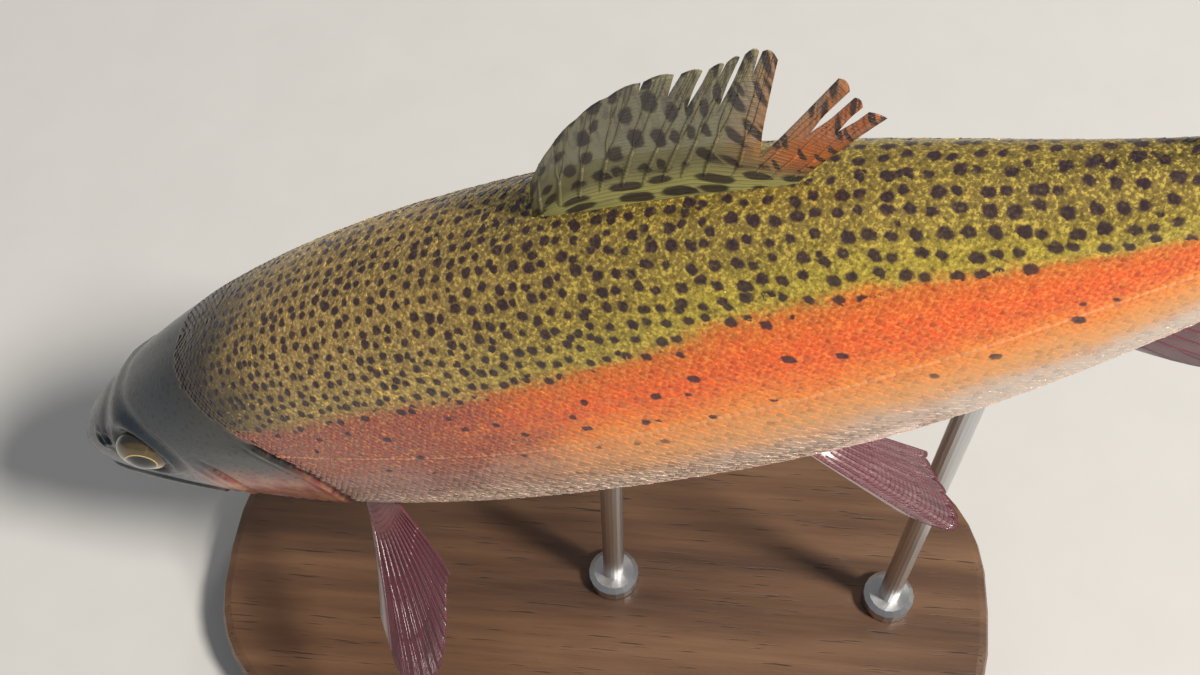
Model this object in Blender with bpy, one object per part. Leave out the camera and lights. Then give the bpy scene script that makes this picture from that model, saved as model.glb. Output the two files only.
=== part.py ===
"""A rainbow trout at life size, diving gently, on a plain display stand.

The fish is drawn straight, head towards -X and left side towards -Y, then its tail is turned a
little to one side and the whole fish is tilted head down over the stand. Sizes of the fish are
shares of its standard length, measured from the snout.
"""

import math

import bmesh
import bpy
from mathutils import Vector

# Driving dimensions: metres and degrees
STANDARD_LENGTH = 0.220     # snout to the root of the tail fin
DIVE_ANGLE = 26.0           # how far the head points down
TAIL_TURN = 11.0            # how far the tail's end is turned to the fish's right
AXIS_HEIGHT = 0.102         # height of the balance point above the floor
BALANCE = 0.44              # the share of the body that stands over the base's centre
GAP = 0.0003                # clear space between neighbouring pieces

BASE_LENGTH = 0.150
BASE_WIDTH = 0.080
BASE_THICKNESS = 0.012
BASE_BEVEL = 0.002
ROD_RADIUS = 0.002
COLLAR_RADIUS = 0.0048
COLLAR_HEIGHT = 0.0035
ROD_STATIONS = {"front": 0.39, "rear": 0.665}

# Proportions of the fish, as shares of the standard length
HEAD_END = 0.235            # hindmost point of the gill cover
TRUNK_SPLIT = 0.50
STALK_START = 0.80
EYE_STATION = 0.092
EYE_HEIGHT = 0.027
EYE_RADIUS = 0.0210
EYE_DEPTH = 0.0130          # half the eyeball's thickness across the head
EYE_INSET = 0.0060          # how deep the ball's centre lies under the cheek
GILL_PLATE = 0.0020         # metres, thickness of a gill cover
LIP_PLATE = 0.0012          # metres, thickness of an upper lip bone

BODY_SIDES = 28
BACK_FULLNESS = 2.5         # section exponent above the widest line
BELLY_FULLNESS = 2.15       # section exponent below it

# The body's edges above, below and beside its axis. Each swells from the snout to a peak and
# falls to the tail stalk, which flares a little towards the tail fin.
BACK_EDGE = dict(peak=0.139, peak_at=0.45, nose_power=0.74,
                 stalk=0.052, stalk_at=0.94, fall_power=1.12, flare=0.007)
BELLY_EDGE = dict(peak=0.126, peak_at=0.46, nose_power=0.72,
                  stalk=0.049, stalk_at=0.94, fall_power=1.42, flare=0.008)
SIDE_EDGE = dict(peak=0.081, peak_at=0.39, nose_power=0.64,
                 stalk=0.009, stalk_at=1.0, fall_power=1.25, flare=0.0)
SNOUT_BLUNTNESS = 0.011     # how much the blunt snout adds to each edge
SNOUT_ROUNDING = 0.010      # length over which that is added
SNOUT_FADE = 0.045          # length over which it fades away again

BEND_START = 0.55           # where the spine starts to turn aside
BEND_LENGTH = 0.70          # length in which it would turn by the whole angle
SPINE_REACH = 1.3           # length of the spine's line, which passes the tail fin

# The head's parts, seen from the side
GILL_BULGE = 0.055          # how far the gill cover's hind edge draws forward at its ends
GILL_MIDDLE = -0.010        # height of its hindmost point
GILL_REACH = 0.090          # height from there to its ends
GILL_TOP = 0.052
GILL_FOOT = -0.082
GILL_FRONT = 0.146
GILL_FRONT_BOW = 0.010
MOUTH_START = -0.0085       # height of the mouth's slit at the snout
MOUTH_SLOPE = 0.30          # how steeply the slit droops to the jaw's joint
JAW_JOINT = 0.118
JAW_ANGLE = (0.130, -0.075)     # corner of the lower jaw under its joint
JAW_ROOT = 0.122
LIP_FRONT = 0.018
LIP_CREST = 0.060           # where the upper lip bone is widest
LIP_END = 0.108
LIP_ROUND = 0.008           # radius of its rounded hind end
LIP_ABOVE = 0.002           # how far it lies above the mouth's slit
PAST_EVERYTHING = 0.20      # a share of the length that lies outside the body
BLOCK_DEPTH = 0.05          # metres, half the width of a block that parts the whole head
SIDE_BLOCK = (0.0006, 0.04)     # metres, nearest and farthest side of a one-sided block

# The fins: base and lean give the first and last ray; lengths of rays grow from the first to
# the longest and then fall towards the last. The higher the curl, the later the rays start to
# lean back. Thicknesses are in metres.
FIN_SUNK = 0.010            # how deep a fin's base starts inside the body
FIN_EDGE = 0.0006
DORSAL = dict(base=(0.470, 0.612), lean=(70, 28), curl=1.9, first=0.039, rise=0.083,
              fall=0.042, longest_at=0.72, bow=-0.008, rays=13, steps=6, root=0.0020)
ANAL = dict(base=(0.735, 0.832), lean=(58, 36), curl=1.0, first=0.034, rise=0.078,
            fall=0.048, longest_at=0.21, bow=0.006, rays=11, steps=5, root=0.0018)
ADIPOSE = dict(base=(0.822, 0.846), lobe=(0.848, 0.028), crest=(0.008, 0.030),
               bow=-0.006, rays=6, steps=5, root=0.0020)
TAIL = dict(base=0.985, base_height=0.050, fork=1.112, lobe=0.060, span=0.108,
            tip_from=0.86, tip_rounding=0.020, bow=-0.010, rays=22, steps=7, root=0.0026)
PECTORAL = dict(base=((0.214, 0.040, -0.076), (0.240, 0.048, -0.068)),
                aim=((-0.02, 0.86, -0.50), (0.52, 0.68, -0.44)), spread=0.8,
                first=0.098, rise=0.056, fall=0.074, longest_at=0.15,
                bow=0.012, rays=13, steps=6, root=0.0022)
PELVIC = dict(base=((0.536, 0.034, -0.098), (0.556, 0.016, -0.106)),
              aim=((0.72, 0.44, -0.66), (0.72, 0.14, -0.60)), spread=1.0,
              first=0.090, rise=0.034, fall=0.046, longest_at=0.22,
              bow=0.0, rays=9, steps=5, root=0.0020)


# --- Small tools -------------------------------------------------------------------------------

def clear_scene():
    for old in list(bpy.data.objects):
        bpy.data.objects.remove(old, do_unlink=True)


def material(name, colour, roughness, metallic=0.0):
    made = bpy.data.materials.new(name)
    made.use_nodes = True
    shader = made.node_tree.nodes["Principled BSDF"]
    shader.inputs["Base Color"].default_value = (*colour, 1.0)
    shader.inputs["Roughness"].default_value = roughness
    shader.inputs["Metallic"].default_value = metallic
    made.diffuse_color = (*colour, 1.0)
    return made


def add_object(name, mesh, finish=None, parent=None):
    made = bpy.data.objects.new(name, mesh)
    bpy.context.collection.objects.link(made)
    made.parent = parent
    if finish:
        mesh.materials.append(finish)
    return made


def mesh_from(name, points, faces):
    """A mesh with its faces turned outwards."""
    mesh = bpy.data.meshes.new(name)
    mesh.from_pydata([tuple(p) for p in points], [], faces)
    shape = bmesh.new()
    shape.from_mesh(mesh)
    bmesh.ops.recalc_face_normals(shape, faces=shape.faces)
    shape.to_mesh(mesh)
    shape.free()
    mesh.shade_smooth()
    mesh.set_sharp_from_angle(angle=math.radians(40))
    return mesh


def as_cutter(made):
    made.hide_render = True
    made.display_type = "WIRE"
    return made


def cut(made, cutter, operation="DIFFERENCE"):
    step = made.modifiers.new(f"{operation}_{cutter.name}".lower(), "BOOLEAN")
    step.operation = operation
    step.object = cutter
    step.solver = "EXACT"


def blend(low, high, share):
    return low + (high - low) * share


def smooth(share):
    share = min(max(share, 0.0), 1.0)
    return share * share * (3 - 2 * share)


# --- The fish's form ---------------------------------------------------------------------------

def outline(s, edge):
    """Distance of the body's edge from its axis at the share s of its length."""
    if s < edge["peak_at"]:
        swell = edge["peak"] * math.sin(math.pi / 2 * (max(s, 0.0) / edge["peak_at"]) ** edge["nose_power"])
        blunt = SNOUT_BLUNTNESS * (1 - math.exp(-s / SNOUT_ROUNDING)) * math.exp(-s / SNOUT_FADE)
        return swell + blunt
    fall = min((s - edge["peak_at"]) / (edge["stalk_at"] - edge["peak_at"]), 1.0) ** edge["fall_power"]
    widen = max((s - edge["stalk_at"]) / (1 - edge["stalk_at"]), 0.0) ** 2 if edge["flare"] else 0.0
    drop = (edge["peak"] - edge["stalk"]) * (1 + math.cos(math.pi * fall)) / 2
    return edge["stalk"] + drop + edge["flare"] * widen


def back_height(s):
    return outline(s, BACK_EDGE)


def belly_depth(s):
    return outline(s, BELLY_EDGE)


def half_width(s):
    return outline(s, SIDE_EDGE)


def section_point(s, angle, grow=0.0):
    """Point of the straight body's skin. The angle runs from the back (0) down the left side
    to the belly (pi) and up the right side; grow moves the skin out by so many metres."""
    up, side = math.cos(angle), -math.sin(angle)
    fullness = BACK_FULLNESS if up > 0 else BELLY_FULLNESS
    reach = back_height(s) if up > 0 else belly_depth(s)
    z = math.copysign(abs(up) ** (2 / fullness), up) * (reach * STANDARD_LENGTH + grow)
    y = math.copysign(abs(side) ** (2 / fullness), side) * (half_width(s) * STANDARD_LENGTH + grow)
    return Vector((s * STANDARD_LENGTH, y, z))


def spine_line(steps=130):
    """Points and headings of the turned spine, evenly spaced over the whole fish."""
    spacing = SPINE_REACH * STANDARD_LENGTH / steps
    place, line = Vector((0, 0, 0)), []
    for i in range(steps + 1):
        heading = math.radians(TAIL_TURN) * smooth((i / steps * SPINE_REACH - BEND_START) / BEND_LENGTH)
        along = Vector((math.cos(heading), math.sin(heading), 0))
        line.append((place.copy(), heading))
        place += along * spacing
    return line, spacing


SPINE, SPINE_SPACING = spine_line()


def turned(point):
    """Carry a point of the straight fish to its place on the turned spine."""
    if point.x <= 0:
        return point
    index = min(int(point.x / SPINE_SPACING), len(SPINE) - 2)
    share = point.x / SPINE_SPACING - index
    place = SPINE[index][0].lerp(SPINE[index + 1][0], share)
    heading = blend(SPINE[index][1], SPINE[index + 1][1], share)
    across = Vector((-math.sin(heading), math.cos(heading), 0))
    return place + across * point.y + Vector((0, 0, point.z))


def body_form(name, start, end, stations, grow=0.0):
    """A closed length of the body, with a point at the snout and flat cut ends elsewhere. Its
    rings crowd together towards the snout."""
    crowding = 0.65
    points, faces = [], []
    for i in range(stations + 1):
        share = i / stations
        if start == 0:
            share = blend(share, 1 - math.cos(share * math.pi / 2), crowding)
        s = blend(start, end, share)
        if start == 0 and i == 0:
            points.append(Vector((-grow, 0, 0)))
            continue
        points += [section_point(s, 2 * math.pi * k / BODY_SIDES, grow) for k in range(BODY_SIDES)]
    first = 0
    if start == 0:
        faces += [(0, 1 + k, 1 + (k + 1) % BODY_SIDES) for k in range(BODY_SIDES)]
        first = 1
    else:
        faces.append(tuple(range(BODY_SIDES)))
    rings = (len(points) - first) // BODY_SIDES
    for ring in range(rings - 1):
        here = first + ring * BODY_SIDES
        for k in range(BODY_SIDES):
            after = (k + 1) % BODY_SIDES
            faces.append((here + k, here + after, here + BODY_SIDES + after, here + BODY_SIDES + k))
    last = first + (rings - 1) * BODY_SIDES
    faces.append(tuple(last + k for k in range(BODY_SIDES)))
    return mesh_from(name, [turned(p) for p in points], faces)


# --- Side-view shapes that part the head -------------------------------------------------------

def gill_edge(z, past=0.0):
    """The hind edge of the gill cover at the height z, as shares of the length."""
    return HEAD_END - GILL_BULGE * ((z - GILL_MIDDLE) / GILL_REACH) ** 2 + past


def plate_block(name, outline_points, near_y, far_y, fish):
    """A block with the given side-view outline (shares of the length) between two depths."""
    count = len(outline_points)
    points = [Vector((s * STANDARD_LENGTH, y, z * STANDARD_LENGTH))
              for y in (near_y, far_y) for s, z in outline_points]
    faces = [tuple(range(count)), tuple(count + k for k in range(count))]
    faces += [(k, (k + 1) % count, count + (k + 1) % count, count + k) for k in range(count)]
    return as_cutter(add_object(name, mesh_from(name, points, faces), parent=fish))


def head_outline(past):
    """Everything in front of the gill covers' hind edge."""
    reach, steps = 0.10, 10
    heights = [blend(reach, -reach, k / steps) for k in range(steps + 1)]
    edge = [(gill_edge(z, past), z) for z in heights]
    front = [(-BLOCK_DEPTH, -PAST_EVERYTHING), (-BLOCK_DEPTH, PAST_EVERYTHING)]
    return ([(edge[0][0], PAST_EVERYTHING)] + edge + [(edge[-1][0], -PAST_EVERYTHING)] + front)


def gill_outline(grow):
    """The left and right gill covers: hind edge of the head, top at the cheek, throat below."""
    top, foot = GILL_TOP + grow, GILL_FOOT - grow
    steps, front_steps, past = 9, 4, 0.02
    heights = [blend(top, foot, k / steps) for k in range(steps + 1)]
    hind = [(gill_edge(z, past), z) for z in heights]
    front = [(GILL_FRONT - grow + GILL_FRONT_BOW * math.sin(math.pi * k / front_steps),
              blend(foot, top, k / front_steps)) for k in range(front_steps + 1)]
    return hind + front


def mouth_line(s, lift=0.0):
    """Height of the mouth's slit: it starts just under the snout and droops to the jaw joint."""
    return MOUTH_START - MOUTH_SLOPE * s + lift


def jaw_outline(lift):
    """The lower jaw: all that lies under the mouth's slit and in front of its joint."""
    joint = JAW_JOINT + lift
    return [(-BLOCK_DEPTH, mouth_line(0.0, lift)), (0.0, mouth_line(0.0, lift)),
            (joint, mouth_line(joint, lift)), (JAW_ANGLE[0] + lift, JAW_ANGLE[1]),
            (JAW_ROOT + lift, -PAST_EVERYTHING), (-BLOCK_DEPTH, -PAST_EVERYTHING)]


def lip_outline(grow):
    """The strap of bone over the corner of the mouth, wider and rounded behind."""
    front, steps = LIP_FRONT - grow, 6
    radius = LIP_ROUND + grow
    middle = mouth_line(LIP_END) + LIP_ABOVE + LIP_ROUND
    lower = [(front, mouth_line(LIP_FRONT) + LIP_ABOVE - grow), (LIP_END, middle - radius)]
    hind = [(LIP_END + radius * math.sin(math.pi * k / steps),
             middle - radius * math.cos(math.pi * k / steps)) for k in range(1, steps + 1)]
    upper = [(LIP_CREST, mouth_line(LIP_CREST) + 2 * LIP_ROUND + grow),
             (front, mouth_line(LIP_FRONT) + LIP_ROUND + grow)]
    return lower + hind + upper


def side_shell(name, inner_form, outline_points, side, fish):
    """A block inside a side-view outline, on one side of the head, hollowed by an inner form:
    it cuts a plate from the body's outer layer."""
    near, far = SIDE_BLOCK if side == "right" else (-SIDE_BLOCK[1], -SIDE_BLOCK[0])
    block = plate_block(f"{name}_block", outline_points, near, far, fish)
    cut(block, inner_form)
    return block


# --- Head --------------------------------------------------------------------------------------

def eye_place(side):
    """Centre of an eyeball, under the cheek's surface at the eye's station and height."""
    rise = EYE_HEIGHT / back_height(EYE_STATION)
    width = (1 - rise ** BACK_FULLNESS) ** (1 / BACK_FULLNESS) * half_width(EYE_STATION)
    y = (width - EYE_INSET) * STANDARD_LENGTH
    return Vector((EYE_STATION * STANDARD_LENGTH, -y if side == "left" else y,
                   EYE_HEIGHT * STANDARD_LENGTH))


def ball(name, centre, radius, depth, rings, sides, parent, finish=None):
    """A closed flattened ball whose poles lie across the fish, depth from its centre."""
    points, faces = [Vector((0, -depth, 0))], []
    for ring in range(1, rings):
        tilt = math.pi * ring / rings
        for k in range(sides):
            turn = 2 * math.pi * k / sides
            points.append(Vector((radius * math.sin(tilt) * math.cos(turn), -depth * math.cos(tilt),
                                  radius * math.sin(tilt) * math.sin(turn))))
    points.append(Vector((0, depth, 0)))
    for k in range(sides):
        after = (k + 1) % sides
        faces.append((0, 1 + k, 1 + after))
        for ring in range(rings - 2):
            here = 1 + ring * sides
            faces.append((here + k, here + after, here + sides + after, here + sides + k))
        last = 1 + (rings - 2) * sides
        faces.append((last + after, last + k, len(points) - 1))
    made = add_object(name, mesh_from(name, points, faces), finish, parent)
    made.location = centre
    return made


def under_form(name, end, stations, depth, fish):
    """The head's form with a layer of the given depth peeled off, to cut with."""
    return as_cutter(add_object(name, body_form(name, 0, end, stations, -depth), parent=fish))


def head_piece(name, finish, fish):
    """The whole head's form, from which a piece of it is cut."""
    return add_object(name, body_form(name, 0, 0.26, 24), finish, fish)


def build_head(fish, finishes):
    """Skull, lower jaw, upper lip bones, gill covers and eyes."""
    under_gills = under_form("under_gills", 0.30, 20, GILL_PLATE, fish)
    under_gill_gap = under_form("under_gill_gap", 0.30, 20, GILL_PLATE + GAP, fish)
    under_lips = under_form("under_lips", 0.20, 18, LIP_PLATE, fish)
    under_lip_gap = under_form("under_lip_gap", 0.20, 18, LIP_PLATE + GAP, fish)
    front_block = plate_block("head_block", head_outline(0.0), -BLOCK_DEPTH, BLOCK_DEPTH, fish)
    room = GAP / STANDARD_LENGTH

    head = head_piece("head", finishes["head"], fish)
    cut(head, front_block, "INTERSECT")
    cut(head, plate_block("jaw_pocket", jaw_outline(1.5 * room), -BLOCK_DEPTH, BLOCK_DEPTH, fish))

    jaw = head_piece("jaw_lower", finishes["head"], fish)
    cut(jaw, plate_block("jaw_block", jaw_outline(0.0), -BLOCK_DEPTH, BLOCK_DEPTH, fish), "INTERSECT")

    for side in ("left", "right"):
        cut(head, side_shell(f"gill_pocket_{side}", under_gill_gap, gill_outline(room), side, fish))
        cover = head_piece(f"gill_cover_{side}", finishes["gill"], fish)
        cut(cover, front_block, "INTERSECT")
        cut(cover, side_shell(f"gill_block_{side}", under_gills, gill_outline(0.0), side, fish), "INTERSECT")

        cut(head, side_shell(f"lip_pocket_{side}", under_lip_gap, lip_outline(room), side, fish))
        lip = head_piece(f"maxilla_{side}", finishes["head"], fish)
        cut(lip, side_shell(f"lip_block_{side}", under_lips, lip_outline(0.0), side, fish), "INTERSECT")

        centre, radius = eye_place(side), EYE_RADIUS * STANDARD_LENGTH
        depth = EYE_DEPTH * STANDARD_LENGTH
        ball(f"eye_{side}", centre, radius, depth, 8, 18, fish, finishes["eye"])
        cut(head, as_cutter(ball(f"eye_socket_{side}", centre, radius + GAP, depth + GAP, 8, 18, fish)))


# --- Trunk and tail stalk ----------------------------------------------------------------------

def build_trunk(fish, finish):
    room = GAP / STANDARD_LENGTH
    before_gills = HEAD_END - 0.07
    front = add_object("trunk_front", body_form("trunk_front", before_gills, TRUNK_SPLIT - room / 2, 16),
                       finish, fish)
    cut(front, plate_block("head_room", head_outline(room), -BLOCK_DEPTH, BLOCK_DEPTH, fish))
    add_object("trunk_rear", body_form("trunk_rear", TRUNK_SPLIT + room / 2, STALK_START - room / 2, 14),
               finish, fish)
    add_object("tail_stalk", body_form("tail_stalk", STALK_START + room / 2, 1.0, 9), finish, fish)


# --- Fins --------------------------------------------------------------------------------------

def ray_length(fin, u):
    """Length of the ray at u: it grows fast to the longest ray, then falls towards the last."""
    longest = fin["longest_at"]
    growth = 1 - (1 - min(u / longest, 1)) ** 2
    fall = smooth((u - longest) / (1 - longest))
    return fin["first"] + fin["rise"] * growth - fin["fall"] * fall


def ray_lean(fin, u):
    """Slope of the ray at u, in radians."""
    return math.radians(blend(*fin["lean"], u ** fin["curl"]))


def fin_plate(name, fin, root, tip, finish, fish, body):
    """A thin tapering plate spanned by rays. root and tip give a ray's two ends, as shares of
    the length, for u from 0 at the leading edge to 1 at the trailing edge; a ray's middle
    swings towards the tail by the fin's bow. The plate is cut back from the body."""
    rays, steps = fin["rays"], fin["steps"]

    def ray_point(u, v):
        start, end = Vector(root(u)), Vector(tip(u))
        return (start.lerp(end, v) + Vector((fin["bow"] * v * (1 - v), 0, 0))) * STANDARD_LENGTH

    sheets = {-1: [], 1: []}
    nudge = 0.01
    for i in range(rays + 1):
        for j in range(steps + 1):
            u, v = i / rays, j / steps
            spread = ray_point(min(u + nudge, 1), v) - ray_point(max(u - nudge, 0), v)
            along = ray_point(u, min(v + nudge, 1)) - ray_point(u, max(v - nudge, 0))
            facing = spread.cross(along).normalized()
            half = blend(fin["root"], FIN_EDGE, smooth(v)) / 2
            for side, sheet in sheets.items():
                sheet.append(turned(ray_point(u, v) + facing * half * side))
    row, count = steps + 1, (rays + 1) * (steps + 1)
    faces = []
    for i in range(rays):
        for j in range(steps):
            near = [i * row + j, i * row + j + 1, (i + 1) * row + j + 1, (i + 1) * row + j]
            faces.append(tuple(near))
            faces.append(tuple(count + k for k in reversed(near)))
    rim = [j for j in range(row)]
    rim += [i * row + steps for i in range(1, rays + 1)]
    rim += [rays * row + j for j in reversed(range(steps))]
    rim += [i * row for i in reversed(range(1, rays))]
    for k, here in enumerate(rim):
        after = rim[(k + 1) % len(rim)]
        faces.append((here, after, count + after, count + here))
    made = add_object(name, mesh_from(name, sheets[-1] + sheets[1], faces), finish, fish)
    cut(made, body)


def build_middle_fins(fish, body, finishes):
    """Dorsal, adipose, anal and tail fins, which stand on the fish's middle plane."""
    def dorsal_root(u):
        s = blend(*DORSAL["base"], u)
        return s, 0, back_height(s) - FIN_SUNK

    def dorsal_tip(u):
        s, _, z = dorsal_root(u)
        lean, length = ray_lean(DORSAL, u), ray_length(DORSAL, u)
        return s + length * math.cos(lean), 0, z + length * math.sin(lean)

    def anal_root(u):
        s = blend(*ANAL["base"], u)
        return s, 0, -belly_depth(s) + FIN_SUNK

    def anal_tip(u):
        s, _, z = anal_root(u)
        lean, length = ray_lean(ANAL, u), ray_length(ANAL, u)
        return s + length * math.cos(lean), 0, z - length * math.sin(lean)

    def adipose_root(u):
        s = blend(*ADIPOSE["base"], u)
        return s, 0, back_height(s) - FIN_SUNK

    def adipose_tip(u):
        turn, (start, reach), (foot, height) = math.pi / 2 * u, ADIPOSE["lobe"], ADIPOSE["crest"]
        return start + reach * math.sin(turn), 0, back_height(start) + foot + height * math.cos(turn)

    def tail_root(u):
        return TAIL["base"], 0, (1 - 2 * u) * TAIL["base_height"]

    def tail_tip(u):
        across = 1 - 2 * u
        near_tip = (abs(across) - TAIL["tip_from"]) / (1 - TAIL["tip_from"])
        reach = TAIL["fork"] + TAIL["lobe"] * abs(across) ** 1.5 - TAIL["tip_rounding"] * smooth(near_tip)
        return reach, 0, TAIL["span"] * across

    fin_plate("dorsal_fin", DORSAL, dorsal_root, dorsal_tip, finishes["fin"], fish, body)
    fin_plate("adipose_fin", ADIPOSE, adipose_root, adipose_tip, finishes["fin"], fish, body)
    fin_plate("anal_fin", ANAL, anal_root, anal_tip, finishes["low_fin"], fish, body)
    fin_plate("caudal_fin", TAIL, tail_root, tail_tip, finishes["fin"], fish, body)


def build_paired_fins(fish, body, finishes):
    """Pectoral fins, spread out and down behind the gills, and pelvic fins under the belly."""
    for kind, fin in (("pectoral_fin", PECTORAL), ("pelvic_fin", PELVIC)):
        for side, turn in (("left", -1), ("right", 1)):
            def root(u):
                s, y, z = Vector(fin["base"][0]).lerp(Vector(fin["base"][1]), u)
                return s, turn * y, z

            def tip(u):
                aim = Vector(fin["aim"][0]).lerp(Vector(fin["aim"][1]), u ** fin["spread"])
                aim.y *= turn
                return tuple(Vector(root(u)) + aim.normalized() * ray_length(fin, u))

            fin_plate(f"{kind}_{side}", fin, root, tip, finishes["low_fin"], fish, body)


# --- Stand -------------------------------------------------------------------------------------

def lathe(name, profile, sides, place, finish):
    """A solid turned about its own upright axis, from (radius, height) pairs, bottom first."""
    points, faces = [], []
    for radius, height in profile:
        points += [Vector((radius * math.cos(2 * math.pi * k / sides),
                           radius * math.sin(2 * math.pi * k / sides), height)) for k in range(sides)]
    for ring in range(len(profile) - 1):
        here = ring * sides
        for k in range(sides):
            after = (k + 1) % sides
            faces.append((here + k, here + after, here + sides + after, here + sides + k))
    faces.append(tuple(range(sides)))
    faces.append(tuple((len(profile) - 1) * sides + k for k in range(sides)))
    made = add_object(name, mesh_from(name, points, faces), finish)
    made.location = place
    return made


def build_stand(body, finishes):
    """A flat oval base with bevelled edges and two upright rods that reach the belly."""
    sides, squareness, shoulder = 56, 2.8, 0.3
    points, faces = [], []
    levels = [(BASE_BEVEL / 2, 0.0), (0.0, BASE_BEVEL / 2), (0.0, BASE_THICKNESS - BASE_BEVEL),
              (BASE_BEVEL * shoulder, BASE_THICKNESS - BASE_BEVEL * shoulder),
              (BASE_BEVEL, BASE_THICKNESS)]
    for inset, height in levels:
        for k in range(sides):
            turn = 2 * math.pi * k / sides
            x = math.copysign(abs(math.cos(turn)) ** (2 / squareness), math.cos(turn))
            y = math.copysign(abs(math.sin(turn)) ** (2 / squareness), math.sin(turn))
            points.append(Vector((x * (BASE_LENGTH / 2 - inset), y * (BASE_WIDTH / 2 - inset), height)))
    for level in range(len(levels) - 1):
        here = level * sides
        for k in range(sides):
            after = (k + 1) % sides
            faces.append((here + k, here + after, here + sides + after, here + sides + k))
    faces.append(tuple(range(sides)))
    faces.append(tuple((len(levels) - 1) * sides + k for k in range(sides)))
    add_object("stand_base", mesh_from("stand_base", points, faces), finishes["base"])

    dive = math.radians(DIVE_ANGLE)
    foot = BASE_THICKNESS + GAP
    into_belly = 0.006
    for name, station in ROD_STATIONS.items():
        along = (station - BALANCE) * STANDARD_LENGTH
        depth = belly_depth(station) * STANDARD_LENGTH
        x = along * math.cos(dive) + depth * math.sin(dive)
        top = AXIS_HEIGHT + along * math.sin(dive) - depth * math.cos(dive) + into_belly
        profile = [(COLLAR_RADIUS, foot), (COLLAR_RADIUS, foot + COLLAR_HEIGHT * 0.75),
                   (COLLAR_RADIUS * 0.8, foot + COLLAR_HEIGHT), (ROD_RADIUS, foot + COLLAR_HEIGHT),
                   (ROD_RADIUS, top)]
        y = turned(Vector((station * STANDARD_LENGTH, 0, 0))).y
        rod = lathe(f"stand_rod_{name}", profile, 18, (x, y, 0), finishes["rod"])
        cut(rod, body)


# --- Assembly ----------------------------------------------------------------------------------

def main():
    clear_scene()
    finishes = {
        "trunk": material("spotted_skin", (0.42, 0.32, 0.10), 0.35),
        "head": material("head_skin", (0.16, 0.17, 0.11), 0.35),
        "gill": material("gill_cover_skin", (0.62, 0.25, 0.18), 0.35),
        "eye": material("eye", (0.55, 0.42, 0.12), 0.08),
        "fin": material("olive_fin", (0.40, 0.34, 0.17), 0.45),
        "low_fin": material("maroon_fin", (0.38, 0.14, 0.13), 0.45),
        "base": material("walnut", (0.16, 0.09, 0.05), 0.4),
        "rod": material("satin_steel", (0.62, 0.62, 0.62), 0.3, 1.0),
    }
    fish = bpy.data.objects.new("fish_pose", None)
    bpy.context.collection.objects.link(fish)
    dive = math.radians(DIVE_ANGLE)
    fish.rotation_euler = (0, -dive, 0)
    balance = BALANCE * STANDARD_LENGTH
    fish.location = (-balance * math.cos(dive), 0, AXIS_HEIGHT - balance * math.sin(dive))

    clearance = body_form("body_clearance", 0, 1.0 + GAP / STANDARD_LENGTH, 48, GAP)
    body = as_cutter(add_object("body_clearance", clearance, parent=fish))
    build_head(fish, finishes)
    build_trunk(fish, finishes["trunk"])
    build_middle_fins(fish, body, finishes)
    build_paired_fins(fish, body, finishes)
    build_stand(body, finishes)


main()
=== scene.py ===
# %% [markdown]
# # A rainbow trout at life size, on a display stand
# A trout is a spindle of muscle in a coat of small overlapping scales, with a bare head and thin
# fins spread on rays. The solids of the model give its form and its pieces. Here those solids are
# dressed: one skin over head, trunk and tail stalk, thousands of scales, rayed fins, wet eyes,
# and a walnut and steel stand. We start by loading the solids and keeping their size.

# %% Load the solids
import math

import bpy
import numpy as np
from mathutils import Matrix, Vector


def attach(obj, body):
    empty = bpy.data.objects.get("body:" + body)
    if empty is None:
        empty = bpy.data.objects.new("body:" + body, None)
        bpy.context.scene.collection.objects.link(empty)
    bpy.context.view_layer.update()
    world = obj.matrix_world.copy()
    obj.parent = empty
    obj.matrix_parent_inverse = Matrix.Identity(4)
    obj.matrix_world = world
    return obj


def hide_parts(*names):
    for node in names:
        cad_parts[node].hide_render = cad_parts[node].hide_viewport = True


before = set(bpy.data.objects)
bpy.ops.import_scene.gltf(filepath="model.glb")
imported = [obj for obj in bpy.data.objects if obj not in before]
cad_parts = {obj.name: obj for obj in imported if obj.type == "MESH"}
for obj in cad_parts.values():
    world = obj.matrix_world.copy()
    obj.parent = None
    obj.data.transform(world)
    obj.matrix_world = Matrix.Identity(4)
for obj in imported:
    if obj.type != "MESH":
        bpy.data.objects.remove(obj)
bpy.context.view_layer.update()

# %% [markdown]
# ## The camera
# The fish is seen from above its left side, close by, so that its head, which dips away, looks
# smaller than its back. A camera is easiest to place by a point that it looks at, two angles, a
# distance and a small tilt. It comes first, so that every look at the work is from one place.

# %% Camera
AXIS_HEIGHT = 0.102         # height of the fish's balance point, metres
VIEW_TURN = math.radians(7.3)
VIEW_RISE = math.radians(59.35)
VIEW_ROLL = math.radians(-2.07)
VIEW_DISTANCE = 0.204
VIEW_SIDESTEP = (0.001, 0.001)      # the aim's shift to the right and up in the view, metres
LENS_LENGTH = 43.0          # millimetres
NEAREST_SEEN = 0.005        # metres


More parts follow.
